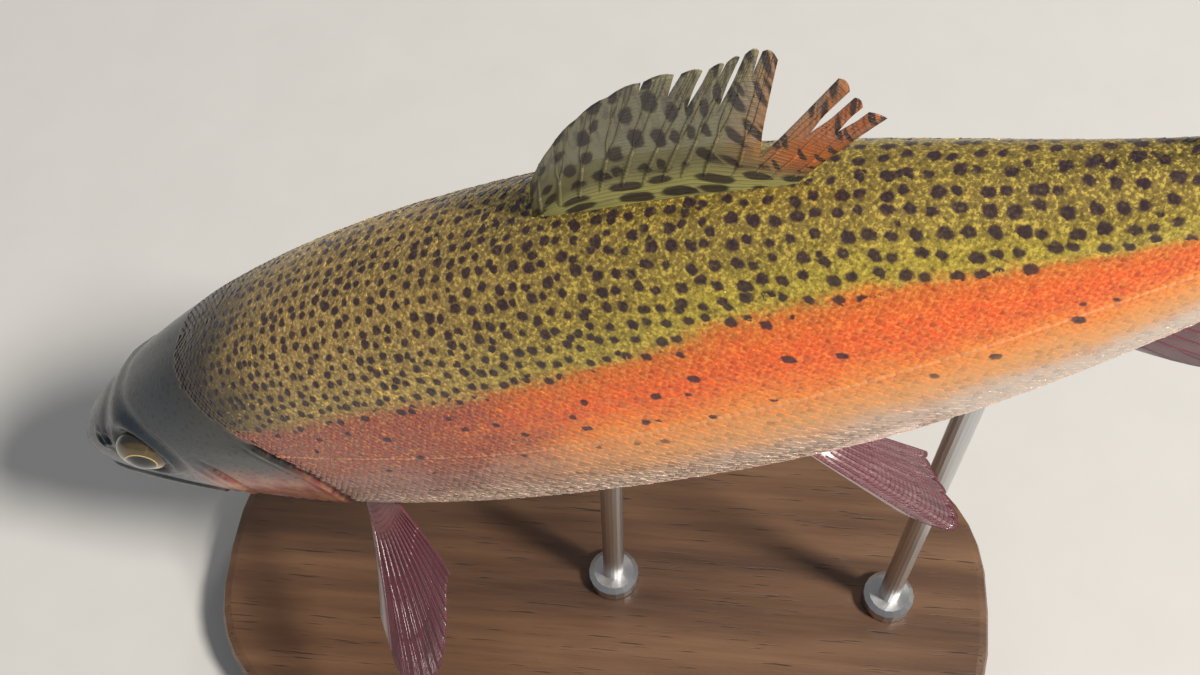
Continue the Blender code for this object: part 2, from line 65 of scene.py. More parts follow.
def make_camera():
    right = Vector((math.cos(VIEW_TURN), math.sin(VIEW_TURN), 0))
    away = Vector((math.sin(VIEW_TURN), -math.cos(VIEW_TURN), 0))
    back = away * math.cos(VIEW_RISE) + Vector((0, 0, math.sin(VIEW_RISE)))
    up = back.cross(right)
    tilted_right = right * math.cos(VIEW_ROLL) + up * math.sin(VIEW_ROLL)
    tilted_up = up * math.cos(VIEW_ROLL) - right * math.sin(VIEW_ROLL)
    aim = Vector((0, 0, AXIS_HEIGHT)) + tilted_right * VIEW_SIDESTEP[0] + tilted_up * VIEW_SIDESTEP[1]
    lens = bpy.data.cameras.new("camera")
    lens.lens = LENS_LENGTH
    lens.clip_start = NEAREST_SEEN
    made = bpy.data.objects.new("camera", lens)
    bpy.context.collection.objects.link(made)
    place = aim + back * VIEW_DISTANCE
    turn = Matrix((tilted_right, tilted_up, back)).transposed().to_4x4()
    made.matrix_world = Matrix.Translation(place) @ turn
    bpy.context.scene.camera = made
    print("camera stands", round(place.z, 3), "m above the floor")


make_camera()

# %% [markdown]
# ## The fish's form
# The solids were drawn from three edges: how far the body reaches above, below and beside its
# axis. The same edges are repeated here. A copy of the solids' own mesh could be smoothed
# instead, but it has no lengthwise and girthwise places to hang scales and markings on.

# %% Sizes of the fish
STANDARD_LENGTH = 0.220     # snout to the root of the tail fin, metres
DIVE_ANGLE = math.radians(26.0)
TAIL_TURN = math.radians(11.0)
BALANCE = 0.44              # the share of the body that stands over the base's centre
COAT_DEPTH = 0.00045        # how far the skin lies under the solids' surface

# Everything below is a share of the standard length.
BACK_EDGE = dict(peak=0.139, peak_at=0.45, nose_power=0.74,
                 stalk=0.052, stalk_at=0.94, fall_power=1.12, flare=0.007)
BELLY_EDGE = dict(peak=0.126, peak_at=0.46, nose_power=0.72,
                  stalk=0.049, stalk_at=0.94, fall_power=1.42, flare=0.008)
SIDE_EDGE = dict(peak=0.081, peak_at=0.39, nose_power=0.64,
                 stalk=0.009, stalk_at=1.0, fall_power=1.25, flare=0.0)
SNOUT_BLUNTNESS = 0.011
SNOUT_ROUNDING = 0.010
SNOUT_FADE = 0.045
BACK_FULLNESS = 2.5         # section exponent above the widest line
BELLY_FULLNESS = 2.15       # section exponent below it
BEND_START = 0.55
BEND_LENGTH = 0.70
SPINE_REACH = 1.3
TAIL_THINS_FROM = 0.965     # behind this the stalk narrows between the roots of the tail's rays
TAIL_END = 1.012
print("standard length", STANDARD_LENGTH, "m, greatest depth",
      round((BACK_EDGE["peak"] + BELLY_EDGE["peak"]) * STANDARD_LENGTH, 4), "m")

# %% [markdown]
# Each edge swells from the snout to a peak, like part of a sine, and falls to the tail stalk. A
# section through the body is a rounded shape between an ellipse and a box, fuller above the
# widest line than below. The formulas take arrays, so that thousands of points are worked out
# at once, and the skin lies a hair under the solids' surface, to leave room for the scales.

# %% Body outline
def blend(low, high, share):
    return low + (high - low) * share


def smooth(share):
    share = np.clip(share, 0.0, 1.0)
    return share * share * (3 - 2 * share)


def hump(distance, width):
    """A soft bump: 1 at no distance, near 0 past twice the width."""
    return np.exp(-(distance / width) ** 2)


def outline(s, edge):
    """Distance of the body's edge from its axis at the share s of its length."""
    rising = np.clip(s, 0, edge["peak_at"]) / edge["peak_at"]
    swell = edge["peak"] * np.sin(math.pi / 2 * rising ** edge["nose_power"])
    swell = swell + SNOUT_BLUNTNESS * (1 - np.exp(-s / SNOUT_ROUNDING)) * np.exp(-s / SNOUT_FADE)
    fallen = (np.clip(s, edge["peak_at"], edge["stalk_at"]) - edge["peak_at"])
    fallen = (fallen / (edge["stalk_at"] - edge["peak_at"])) ** edge["fall_power"]
    drop = (edge["peak"] - edge["stalk"]) * (1 + np.cos(math.pi * fallen)) / 2
    past = np.maximum(s - edge["stalk_at"], 0.0) / (1.0001 - edge["stalk_at"])
    return np.where(s < edge["peak_at"], swell, edge["stalk"] + drop + edge["flare"] * past ** 2)


def half_section(s, turn, grow=0.0):
    """Reach to the side and height of the body's edge, in metres, where turn runs from 0 at the
    back to pi at the belly, and grow moves the edge out."""
    up, out = np.cos(turn), np.sin(turn)
    fullness = np.where(up > 0, BACK_FULLNESS, BELLY_FULLNESS)
    reach = np.where(up > 0, outline(s, BACK_EDGE), outline(s, BELLY_EDGE)) * STANDARD_LENGTH + grow
    wide = outline(s, SIDE_EDGE) * STANDARD_LENGTH + grow
    thinning = np.clip(s - TAIL_THINS_FROM, 0, TAIL_END - TAIL_THINS_FROM) / (TAIL_END - TAIL_THINS_FROM)
    wide = wide * np.sqrt(1 - thinning ** 2)
    height = np.sign(up) * np.abs(up) ** (2 / fullness) * np.maximum(reach, 1e-5)
    return np.abs(out) ** (2 / fullness) * np.maximum(wide, 0), height


print("half width at the middle:", round(float(half_section(0.5, math.pi / 2)[0]) * 1000, 1), "mm")

# %% [markdown]
# Scales and markings follow the skin round the body, so places are given as a station s along the
# body and a share of the way round, from 0 on the ridge of the back to 1 under the belly. Solving
# for the section's angle at each scale would be exact but slow, so a table of arc lengths is
# measured once and read in between.

# %% Round the girth
STATIONS = np.linspace(0.0005, TAIL_END, 320)
TURNS = np.linspace(0, math.pi, 1441)
SHARES = np.linspace(0, 1, 513)


def measure_girth():
    side, height = half_section(STATIONS[:, None], TURNS[None, :])
    steps = np.hypot(np.diff(side, axis=1), np.diff(height, axis=1))
    arcs = np.hstack([np.zeros((len(STATIONS), 1)), np.cumsum(steps, axis=1)])
    return arcs[:, -1], arcs / arcs[:, -1:]


HALF_GIRTH, ARC_SHARE = measure_girth()
TURN_TABLE = np.array([np.interp(SHARES, arc, TURNS) for arc in ARC_SHARE])
print("half girth at the widest:", round(HALF_GIRTH.max() * 1000, 1), "mm")


def read_table(table, s, across):
    """The table's value at stations s and at a place across it, from 0 to 1."""
    row = (s - STATIONS[0]) / (STATIONS[-1] - STATIONS[0]) * (len(STATIONS) - 1)
    row = np.clip(row, 0, len(STATIONS) - 1.001)
    column = np.clip(across * (table.shape[1] - 1), 0, table.shape[1] - 1.001)
    i, j = row.astype(int), column.astype(int)
    a, b = row - i, column - j
    near = table[i, j] * (1 - a) + table[i + 1, j] * a
    far = table[i, j + 1] * (1 - a) + table[i + 1, j + 1] * a
    return near * (1 - b) + far * b


def half_girth(s):
    return np.interp(s, STATIONS, HALF_GIRTH)


def share_at_height(s, z):
    """The share of the way round at which the body's edge has the height z, a share of length."""
    reach = np.where(z > 0, outline(s, BACK_EDGE), outline(s, BELLY_EDGE))
    fullness = np.where(z > 0, BACK_FULLNESS, BELLY_FULLNESS)
    up = np.sign(z) * np.clip(np.abs(z) / np.maximum(reach, 1e-9), 0, 1) ** (fullness / 2)
    return read_table(ARC_SHARE, s, np.arccos(up) / math.pi)


def body_point(s, share, side, grow=-COAT_DEPTH):
    """Points of the straight body; side is -1 on the left and 1 on the right."""
    s, share, side = np.broadcast_arrays(s, share, side)
    out, height = half_section(s, read_table(TURN_TABLE, s, share), grow)
    return np.stack([s * STANDARD_LENGTH, side * out, height], axis=-1)


# %% [markdown]
# A swimming trout bends from side to side, most of all near the tail. The fish is worked out
# straight, then bent along its spine and tipped head down. A bend modifier would do that to a
# finished mesh, but a formula can also carry single places. Each point keeps its distance from
# the spine.

# %% Bend and tip
def spine_line(steps=130):
    spacing = SPINE_REACH * STANDARD_LENGTH / steps
    at = np.arange(steps + 1) * spacing
    heading = TAIL_TURN * smooth((at / STANDARD_LENGTH - BEND_START) / BEND_LENGTH)
    x = np.concatenate([[0], np.cumsum(np.cos(heading[:-1]) * spacing)])
    y = np.concatenate([[0], np.cumsum(np.sin(heading[:-1]) * spacing)])
    return at, x, y, heading


SPINE_AT, SPINE_X, SPINE_Y, SPINE_HEADING = spine_line()


def placed(points):
    """Carry points of the straight fish to their place over the stand."""
    along, across, height = points[..., 0], points[..., 1], points[..., 2]
    heading = np.interp(along, SPINE_AT, SPINE_HEADING)
    x = np.interp(along, SPINE_AT, SPINE_X) + np.minimum(along, 0) - np.sin(heading) * across
    y = np.interp(along, SPINE_AT, SPINE_Y) + np.cos(heading) * across
    level = x - BALANCE * STANDARD_LENGTH
    forward = level * math.cos(DIVE_ANGLE) - height * math.sin(DIVE_ANGLE)
    upward = level * math.sin(DIVE_ANGLE) + height * math.cos(DIVE_ANGLE)
    return np.stack([forward, y, upward + AXIS_HEIGHT], axis=-1)


snout_tip, tail_root = placed(np.array([[0, 0, 0], [STANDARD_LENGTH, 0, 0]]))
print("snout at", snout_tip.round(3), "and tail root at", tail_root.round(3))

# %% [markdown]
# ## Places for the markings
# The colours of a trout are laid in bands: olive back, yellow upper flank, an orange-red stripe
# along the lateral line and a pale belly, with dark spots on top. The skin and the scales must
# carry the same markings. Painting a picture on both would be the usual way, but it has seams.
# So each point of both keeps three named attributes that the materials read: its place among
# the bands, its place in the lattice of spots, and its distance from the lateral line.

# %% Bands and spots
HEAD_END = 0.235
GILL_BULGE = 0.055
GILL_MIDDLE = -0.010
GILL_REACH = 0.090
SPOT_SPACING = (0.0018, 0.0023, 0.0031)     # metres, at the nape, the dorsal fin and the tail


def stripe_top(s):
    """Where the red stripe starts, as a share of the way round."""
    return 0.305 - 0.085 * hump(s - 0.65, 0.13)


def stripe_foot(s):
    return 0.53 + 0.05 * smooth((s - 0.6) / 0.3)


def lateral_share(s):
    """The lateral line falls from the top of the gill opening and then runs straight."""
    height = 0.012 * (1 - smooth((s - 0.55) / 0.45)) + 0.026 * (1 - smooth((s - 0.19) / 0.26))
    return share_at_height(s, height + 0.0005)


def spot_spacing(s):
    return np.interp(s, (0.15, 0.5, 0.95), SPOT_SPACING)


FINE_S = np.linspace(0, 1.3, 1301)
SPOT_COUNT = np.concatenate([[0], np.cumsum(STANDARD_LENGTH * 0.001 / spot_spacing(FINE_S[:-1]))])


def gill_edge(z, share):
    """Hind edge of the gill cover; under the throat it runs forward towards the chin."""
    throat = smooth((share - 0.84) / 0.16)
    return HEAD_END - GILL_BULGE * ((z - GILL_MIDDLE) / GILL_REACH) ** 2 - 0.055 * throat


def body_marks(s, share, side):
    """The attributes that the skin and every scale carry; from_line is in millimetres."""
    around = share * half_girth(s) * side
    bands = np.stack([share - stripe_top(s), share - stripe_foot(s), s], axis=-1)
    spots = np.stack([np.interp(s, FINE_S, SPOT_COUNT), around / spot_spacing(s), share], axis=-1)
    from_line = (share - lateral_share(s)) * half_girth(s) * 1000
    return {"bands": bands, "spots": spots, "from_line": from_line}


print("cells for spots from snout to tail:", int(np.interp(1.0, FINE_S, SPOT_COUNT)))

# %% [markdown]
# ## Small tools for meshes
# Every piece here is worked out as arrays of points and faces. One helper turns them into an
# object, adds its attributes and its material, and makes it ride on the model's one body. Bmesh
# could build them face by face, but arrays are quicker for thousands of scales.

# %% Mesh tools
def flat_rows(values):
    """One row for each point: three numbers where the values are triples, else one."""
    return values.reshape(-1, 3) if values.ndim == 3 else values.reshape(-1)


def set_attributes(mesh, attributes):
    for name, values in attributes.items():
        kind, field = ("FLOAT_VECTOR", "vector") if values.ndim == 2 else ("FLOAT", "value")
        layer = mesh.attributes.new(name, kind, "POINT")
        layer.data.foreach_set(field, np.ascontiguousarray(values, dtype=np.float32).ravel())


def set_bake_map(mesh, places):
    """Writes the map named OFBake from one place on the flat unwrap for each point."""
    corners = np.empty(len(mesh.loops), dtype=np.int32)
    mesh.loops.foreach_get("vertex_index", corners)
    layer = mesh.uv_layers.new(name="OFBake")
    layer.data.foreach_set("uv", np.ascontiguousarray(places[corners], dtype=np.float32).ravel())


def add_piece(name, points, faces, finish, attributes=None, bake=None):
    mesh = bpy.data.meshes.new(name)
    mesh.from_pydata(points.tolist(), [], faces if isinstance(faces, list) else faces.tolist())
    mesh.shade_smooth()
    set_attributes(mesh, attributes or {})
    if bake is not None:
        set_bake_map(mesh, bake)
    mesh.materials.append(finish)
    made = bpy.data.objects.new(name, mesh)
    bpy.context.collection.objects.link(made)
    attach(made, "root")
    triangles = sum(len(p.vertices) - 2 for p in mesh.polygons)
    print(f"{name}: {len(points)} points, {triangles} triangles")
    return made


# %% [markdown]
# ## Small tools for materials
# A procedural material is a sum of simple steps: read a place, add noise, pick a colour, mix. A
# few helpers make each step one line, so that a finish reads like a recipe. These first ones
# make the material, work on masks from 0 to 1, and read the named attributes.

# %% Material tools
def feed(tree, socket, value):
    """Link a socket to an output, or set it to a number, a place or a colour."""
    if isinstance(value, bpy.types.NodeSocket):
        tree.links.new(value, socket)
    elif socket.type == "RGBA":
        socket.default_value = (*value, 1.0)
    else:
        socket.default_value = value


def fill(tree, node, **values):
    """Feed a node's inputs by name; an underscore in a name stands for a space."""
    for name, value in values.items():
        feed(tree, node.inputs[name.replace("_", " ")], value)
    return node


def new_finish(name, **constants):
    """A material and its shader; constants go straight on the shader's own sockets."""
    made = bpy.data.materials.new(name)
    made.use_nodes = True
    shader = fill(made.node_tree, made.node_tree.nodes["Principled BSDF"], **constants)
    print("finish:", name)
    return made, made.node_tree, shader


def do(tree, operation, *values):
    """One step of arithmetic on numbers."""
    made = tree.nodes.new("ShaderNodeMath")
    made.operation = operation
    for socket, value in zip(made.inputs, values):
        feed(tree, socket, value)
    return made.outputs[0]


def times(tree, first, *others):
    for other in others:
        first = do(tree, "MULTIPLY", first, other)
    return first


def opposite(tree, mask):
    """0 where the mask is 1, and 1 where it is 0."""
    return do(tree, "SUBTRACT", 1.0, mask)


def between(tree, value, low, high):
    """0 where the value is at low, 1 at high, smooth in between."""
    made = tree.nodes.new("ShaderNodeMapRange")
    made.interpolation_type = "SMOOTHSTEP"
    return fill(tree, made, Value=value, From_Min=low, From_Max=high).outputs["Result"]


def mix(tree, share, first, second, kind="MIX"):
    """Blend two colours; on this node they are inputs 6 and 7, and the result is output 2."""
    made = tree.nodes.new("ShaderNodeMix")
    made.data_type = "RGBA"
    made.blend_type = kind
    for index, value in ((0, share), (6, first), (7, second)):
        feed(tree, made.inputs[index], value)
    return made.outputs[2]


def read(tree, name, output="Vector"):
    """A named attribute, whole as Vector or Color, or as one number as Fac."""
    made = tree.nodes.new("ShaderNodeAttribute")
    made.attribute_name = name
    return made.outputs[output]


def read_parts(tree, name):
    """The three numbers of a named attribute."""
    return fill(tree, tree.nodes.new("ShaderNodeSeparateXYZ"), Vector=read(tree, name)).outputs


def here(tree):
    """The place on the model, in metres."""
    return tree.nodes.new("ShaderNodeTexCoord").outputs["Object"]


# %% [markdown]
# Patterns come from noise, and from an irregular lattice of cells with a spot in each. Painted
# pictures could hold truer marks, but these have no seams, and one number changes their size. A
# place can be pushed about before it is read, so that the lattice loses its order.

# %% Pattern tools
def noise(tree, place, scale, detail=3.0, roughness=0.55):
    made = fill(tree, tree.nodes.new("ShaderNodeTexNoise"), Vector=place, Scale=scale, Detail=detail,
                Roughness=roughness)
    return made.outputs["Fac"]


def move_place(tree, operation, *values):
    """One step of arithmetic on places."""
    made = tree.nodes.new("ShaderNodeVectorMath")
    made.operation = operation
    for socket, value in zip(made.inputs, values):
        feed(tree, socket, value)
    return made.outputs[0]


def shifted(tree, place, cell, amount):
    """The place, pushed about by coarse noise so that what is drawn there isn't regular."""
    made = fill(tree, tree.nodes.new("ShaderNodeTexNoise"), Vector=place, Scale=cell, Detail=2.0)
    return move_place(tree, "MULTIPLY_ADD", made.outputs["Color"], (amount, amount, 0.0), place)


def dots(tree, place, scale, small, large, chance, squareness=2.0, soft=0.05, randomness=0.8, lane=0.0):
    """Separate round marks, one in each cell of an irregular lattice. small and large are the
    marks' radii in cells, chance is the share of cells that have one, and lane moves the lattice."""
    cells = tree.nodes.new("ShaderNodeTexVoronoi")
    cells.voronoi_dimensions = "2D"
    cells.distance = "MINKOWSKI"
    fill(tree, cells, Vector=move_place(tree, "ADD", place, (lane, lane, 0.0)), Scale=scale,
         Randomness=randomness, Exponent=squareness)
    luck = tree.nodes.new("ShaderNodeSeparateColor")
    feed(tree, luck.inputs[0], cells.outputs["Color"])
    radius = do(tree, "MULTIPLY_ADD", luck.outputs[0], large - small, small)
    gap = do(tree, "SUBTRACT", radius, cells.outputs["Distance"])
    shown = do(tree, "LESS_THAN", luck.outputs[1], chance)
    return times(tree, between(tree, gap, -soft, soft), shown)


def relief(tree, shader, height, depth):
    """Bump of the given depth, in metres."""
    made = fill(tree, tree.nodes.new("ShaderNodeBump"), Distance=depth, Height=height)
    fill(tree, shader, Normal=made.outputs["Normal"])


# %% [markdown]
# ## The trout's colours
# One recipe colours both skin and scales. It reads the bands and mixes, from the ridge down,
# dark olive, olive gold, yellow, orange-red, gold and silvery white, and then lays the spots on.
# The borders wander with noise, as no line on a living fish is ruled. The flank's spots are drawn
# in the lattice that spreads towards the tail, where they are larger and further apart.

# %% Body colours
RIDGE = (0.085, 0.063, 0.024)
OLIVE_GOLD = (0.240, 0.165, 0.044)
BROWN_GOLD = (0.430, 0.270, 0.115)
YELLOW_OLIVE = (0.400, 0.310, 0.046)
NAPE = (0.040, 0.032, 0.020)
STRIPE_TOP = (0.600, 0.145, 0.018)
STRIPE_RED = (0.840, 0.108, 0.012)
STRIPE_FOOT = (0.880, 0.270, 0.036)
# These two, and the low side's mauve below: the front's own pinkish tone, darkened as painted shade.
STRIPE_FRONT_SHADE = (0.225, 0.066, 0.066)
STRIPE_DUSK_SHADE = (0.290, 0.058, 0.048)
LOW_GOLD = (0.780, 0.380, 0.130)
LOW_MAUVE_SHADE = (0.330, 0.215, 0.195)
BELLY = (0.680, 0.600, 0.520)
SPOT = (0.024, 0.011, 0.026)
# The head's slate: its own dark olive with painted shade and painted sky reflection.
SLATE_AND_PAINTED_SKY = (0.008, 0.017, 0.029)
SLATE_OLIVE_AND_PAINTED_SKY = (0.018, 0.026, 0.032)
CHEEK = (0.330, 0.075, 0.055)
CHEEK_GOLD = (0.460, 0.200, 0.095)
CHEEK_VIOLET = (0.230, 0.110, 0.150)
PALE_JAW = (0.360, 0.330, 0.290)
JAW_BROWN = (0.300, 0.200, 0.160)
BACK_SMUDGE = (0.130, 0.100, 0.030)
# The next five colours are painted glints and painted shade specks, on the back and on the stripe.
PAINTED_GLINT_GOLD = (0.780, 0.600, 0.110)
PAINTED_GLINT_SAND = (0.820, 0.600, 0.230)
PAINTED_SHADE_SPECK = (0.085, 0.062, 0.022)
RED_PAINTED_GLINT = (1.000, 0.400, 0.070)
RED_PAINTED_SHADE = (0.460, 0.040, 0.014)
LINE_PALE = (1.000, 0.420, 0.180)
# Painted shade on the skin between the scales:
SHADE_UNDER_SCALES = (0.050, 0.040, 0.030)
FRECKLE = (0.008, 0.008, 0.010)
# Painted shade in the head's creases:
CREASE_SHADE = (0.020, 0.012, 0.012)
print("the flank runs from", YELLOW_OLIVE, "above to", STRIPE_RED, "on the stripe")

# %% [markdown]
# The recipe itself starts with the borders. Each is the point's distance from a band's edge,
# made ragged by coarse and fine noise. Then come the back, the red stripe and the low side. The
# back and the stripe get tiny specks: painted glints of light on wet scales, and darker specks of
# painted shade. Last come the spots, as a mask that skin and scales use in their own way.

# %% Markings
def body_paint(tree):
    """Colour of skin and scales, with masks for the spots and for the silvery lower side."""
    from_top, from_foot, s = read_parts(tree, "bands")
    place = here(tree)
    wander = do(tree, "SUBTRACT", noise(tree, place, 120.0, 4.0), 0.5)
    ragged = do(tree, "SUBTRACT", noise(tree, place, 900.0, 2.0), 0.5)
    top = do(tree, "MULTIPLY_ADD", ragged, 0.05, do(tree, "MULTIPLY_ADD", wander, 0.06, from_top))
    foot = do(tree, "MULTIPLY_ADD", wander, 0.10, from_foot)

    back = mix(tree, between(tree, top, -0.30, -0.20), RIDGE, OLIVE_GOLD)
    back = mix(tree, between(tree, top, -0.15, -0.01), back, YELLOW_OLIVE)
    back = mix(tree, times(tree, between(tree, s, 0.56, 0.32), 0.80), back, BROWN_GOLD)
    patches = between(tree, noise(tree, place, 55.0, 3.0), 0.35, 0.75)
    back = mix(tree, patches, back, mix(tree, 0.35, back, BACK_SMUDGE))
    red = mix(tree, between(tree, top, 0.0, 0.10), STRIPE_TOP, STRIPE_RED)
    red = mix(tree, between(tree, foot, -0.17, -0.05), red, STRIPE_FOOT)
    # Towards the head the stripe and the low side turn dark pinkish-purple: partly their own tone, partly
    # painted shade over the front of the body.
    front_shade_station = do(tree, "MULTIPLY_ADD", wander, 0.16, s)
    red = mix(tree, between(tree, front_shade_station, 0.48, 0.37), red, STRIPE_DUSK_SHADE)
    red = mix(tree, between(tree, front_shade_station, 0.40, 0.27), red, STRIPE_FRONT_SHADE)
    low = mix(tree, between(tree, front_shade_station, 0.50, 0.35), LOW_GOLD, LOW_MAUVE_SHADE)
    low = mix(tree, between(tree, foot, 0.02, 0.16), low, BELLY)

    # Painted glints: the lighter specks stand for sunlight glinting on wet scales, the darker ones are
    # painted shade.
    glint_noise = noise(tree, place, 1900.0, 2.0, 0.6)
    painted_glints = between(tree, glint_noise, 0.52, 0.64)
    painted_shade_specks = between(tree, glint_noise, 0.48, 0.34)
    painted_glint_colour = mix(tree, between(tree, s, 0.50, 0.30), PAINTED_GLINT_GOLD, PAINTED_GLINT_SAND)
    back = mix(tree, times(tree, painted_glints, 0.60), back, painted_glint_colour)
    back = mix(tree, times(tree, painted_shade_specks, 0.62), back, PAINTED_SHADE_SPECK)
    shoulder = do(tree, "MULTIPLY_ADD", wander, 0.10, s)
    back = mix(tree, between(tree, shoulder, 0.290, 0.180), back, NAPE)
    # The same painted glints and painted shade specks on the red stripe.
    red = mix(tree, times(tree, painted_glints, 0.45), red, RED_PAINTED_GLINT)
    red = mix(tree, times(tree, painted_shade_specks, 0.45), red, RED_PAINTED_SHADE)
    on_line = between(tree, do(tree, "ABSOLUTE", read(tree, "from_line", "Fac")), 0.30, 0.12)
    red = mix(tree, times(tree, on_line, 0.60), red, LINE_PALE)
    flank = mix(tree, between(tree, top, -0.022, 0.022), back, red)
    colour = mix(tree, between(tree, foot, -0.09, 0.04), flank, low)
    below = between(tree, foot, -0.02, 0.12)

    marks = shifted(tree, read(tree, "spots"), 1.6, 0.32)
    full = dots(tree, marks, 1.0, 0.23, 0.34, between(tree, top, 0.03, -0.03), 2.1, 0.08, 0.50)
    few = dots(tree, marks, 0.8, 0.10, 0.26, 0.16, 2.5, 0.05, 0.9, 7.3)
    above_foot = between(tree, foot, 0.05, -0.05)
    spotted = do(tree, "MAXIMUM", full, times(tree, few, above_foot))
    return colour, spotted, below, place


# %% [markdown]
# ## The skin's finish
# Bare skin shows on the head, and glints between the scales elsewhere, where its colour is
# darkened as painted shade under the scales. The head is dark slate with small black spots above,
# its slate partly the head's own dark olive and partly painted shade and painted sky reflection;
# it is rosy on the cheek and gill cover, and pale under the jaw. The creases are painted darker,
# as painted shade. The clear slime over a trout could be a second mesh, but a coat on the shader
# looks the same and costs nothing.

# %% Skin finish
def bare_head_paint(tree, place, cheek, jaw):
    """Slate above, partly painted shade and sky reflection; rosy cheek, pale under the jaw, small dark
    freckles.
    """
    mottle = noise(tree, place, 260.0, 4.0)
    near_nape = between(tree, read_parts(tree, "bands")[2], 0.150, 0.190)
    # The slate blue is partly the head's own dark olive and partly painted shade and painted sky reflection.
    slate = mix(tree, near_nape, mix(tree, mottle, SLATE_AND_PAINTED_SKY, SLATE_OLIVE_AND_PAINTED_SKY), mix(tree, mottle, NAPE, SLATE_OLIVE_AND_PAINTED_SKY))
    rosy = mix(tree, between(tree, mottle, 0.42, 0.62), CHEEK, CHEEK_GOLD)
    rosy = mix(tree, between(tree, noise(tree, place, 110.0, 3.0), 0.50, 0.66), rosy, CHEEK_VIOLET)
    head = mix(tree, cheek, slate, rosy)
    head = mix(tree, jaw, head, mix(tree, mottle, PALE_JAW, JAW_BROWN))
    small_marks = shifted(tree, read(tree, "spots"), 2.0, 0.4)
    freckles = dots(tree, small_marks, 1.25, 0.16, 0.32, 0.60, 2.0, 0.06, 0.9, 3.1)
    freckles = times(tree, freckles, opposite(tree, times(tree, cheek, 0.75)), opposite(tree, jaw), 0.9)
    return mix(tree, freckles, head, FRECKLE)


def make_skin_finish():
    made, tree, shader = new_finish("trout_skin", Coat_Weight=0.35, Coat_Roughness=0.14, IOR=1.40,
                                    Specular_IOR_Level=0.35)
    colour, spotted, below, place = body_paint(tree)
    crease_shade, cheek, jaw = read_parts(tree, "head_parts")
    # The skin between the scales is darkened by about a third, as painted shade under them.
    body = mix(tree, spotted, mix(tree, 0.35, colour, SHADE_UNDER_SCALES), SPOT)
    colour = mix(tree, read(tree, "bare_head", "Fac"), body, bare_head_paint(tree, place, cheek, jaw))
    # Creases are painted darker, as painted shade.
    colour = mix(tree, times(tree, crease_shade, 0.8), colour, CREASE_SHADE)
    fine = noise(tree, place, 1400.0, 3.0)
    fill(tree, shader, Base_Color=colour, Roughness=do(tree, "MULTIPLY_ADD", fine, 0.25, 0.22),
         Metallic=times(tree, do(tree, "MAXIMUM", cheek, below), 0.35))
    dimples = do(tree, "MULTIPLY_ADD", noise(tree, place, 700.0, 4.0), 0.6, fine)
    relief(tree, shader, dimples, 0.00003)
    return made


SKIN_FINISH = make_skin_finish()

# %% [markdown]
# ## The head's folds
# A trout's head is bare skin drawn over thin bones. What catches the eye is the edge of the gill
# cover, which stands a little proud of the shoulder behind it, the crescent bone in front of it,
# the mouth's slit under the strap of the upper lip bone, the ring round the eye and two
# nostrils. Each is a formula for how far the skin rises or sinks, and they are added up.
# Sculpting by hand would be the other way, but a sum of formulas can be read and changed. The
# gill cover and the seams between its plates come first.

# %% Gill cover
CRESCENT = (0.0985, -0.0045, 0.0570, 0.0660)    # centre and radii of the bone before the gill cover


def metres(share):
    return share * STANDARD_LENGTH


def gill_relief(s, z, share):
    """The gill cover's lifted hind edge, and the gutter behind it."""
    behind = metres(s - gill_edge(z, share))
    is_open = 1 - smooth((z - 0.036) / 0.018)
    lifted = 0.00042 * np.exp(np.minimum(behind, 0) / 0.007) * (behind < 0)
    gutter = -0.00085 * np.exp(-np.maximum(behind, 0) / 0.0016) * (behind >= 0)
    fringe = -0.00014 * hump(behind + 0.0019, 0.00045)
    return is_open * (lifted + gutter + fringe)


def plate_relief(s, z, share):
    """Seams between the bony plates of the cheek and the gill cover."""
    centre_s, centre_z, reach_s, reach_z = CRESCENT
    ring = np.hypot((s - centre_s) / reach_s, (z - centre_z) / reach_z)
    angle = np.degrees(np.arctan2(z - centre_z, s - centre_s))
    arc = smooth((angle + 125) / 25) * smooth((38 - angle) / 25)
    past = metres((ring - 1) * reach_s)
    crescent = arc * (-0.00034 * hump(past - 0.0004, 0.0005) + 0.00020 * hump(past + 0.0010, 0.0009))
    inner = arc * 0.00016 * hump(past + 0.0036, 0.0008)
    seam_z = -0.030 - 0.012 * (s - 0.163) / 0.065
    on_cover = smooth((s - 0.160) / 0.004) * smooth((0.232 - s) / 0.010)
    seam = -0.00022 * hump(metres(z - seam_z), 0.0004) * on_cover
    corner = metres((s - 0.160) * 0.86 + (z + 0.036) * -0.50)
    under_seam = smooth((-0.034 - z) / 0.004) * smooth((z + 0.074) / 0.010)
    small_seam = -0.00018 * hump(corner, 0.00045) * under_seam
    return crescent + inner + seam + small_seam + throat_struts(s, z, share)


def throat_struts(s, z, share):
    """The slim bones that hold the skin under the gill cover, as low waves."""
    from_edge = metres(gill_edge(z, share) - s)
    on_throat = smooth((share - 0.66) / 0.05) * smooth((0.95 - share) / 0.05) * smooth((s - 0.125) / 0.02)
    near_edge = smooth((0.016 - from_edge) / 0.006) * smooth((from_edge - 0.0015) / 0.001)
    return 0.00012 * np.cos(2 * math.pi * from_edge / 0.0026) * on_throat * near_edge


print("gill cover ends", round(metres(gill_edge(GILL_MIDDLE, 0.5)) * 1000, 1), "mm behind the snout")

# %% [markdown]
# The mouth is a slit between two soft lips. Over its corner lies the upper lip bone, a strap
# with a round end, and a groove runs along the lower jaw under the chin. A cut mouth would need
# an inside, so on a closed mouth a deep groove is enough.

# %% Mouth
MOUTH_START = -0.0085
MOUTH_SLOPE = 0.30
JAW_JOINT = 0.118


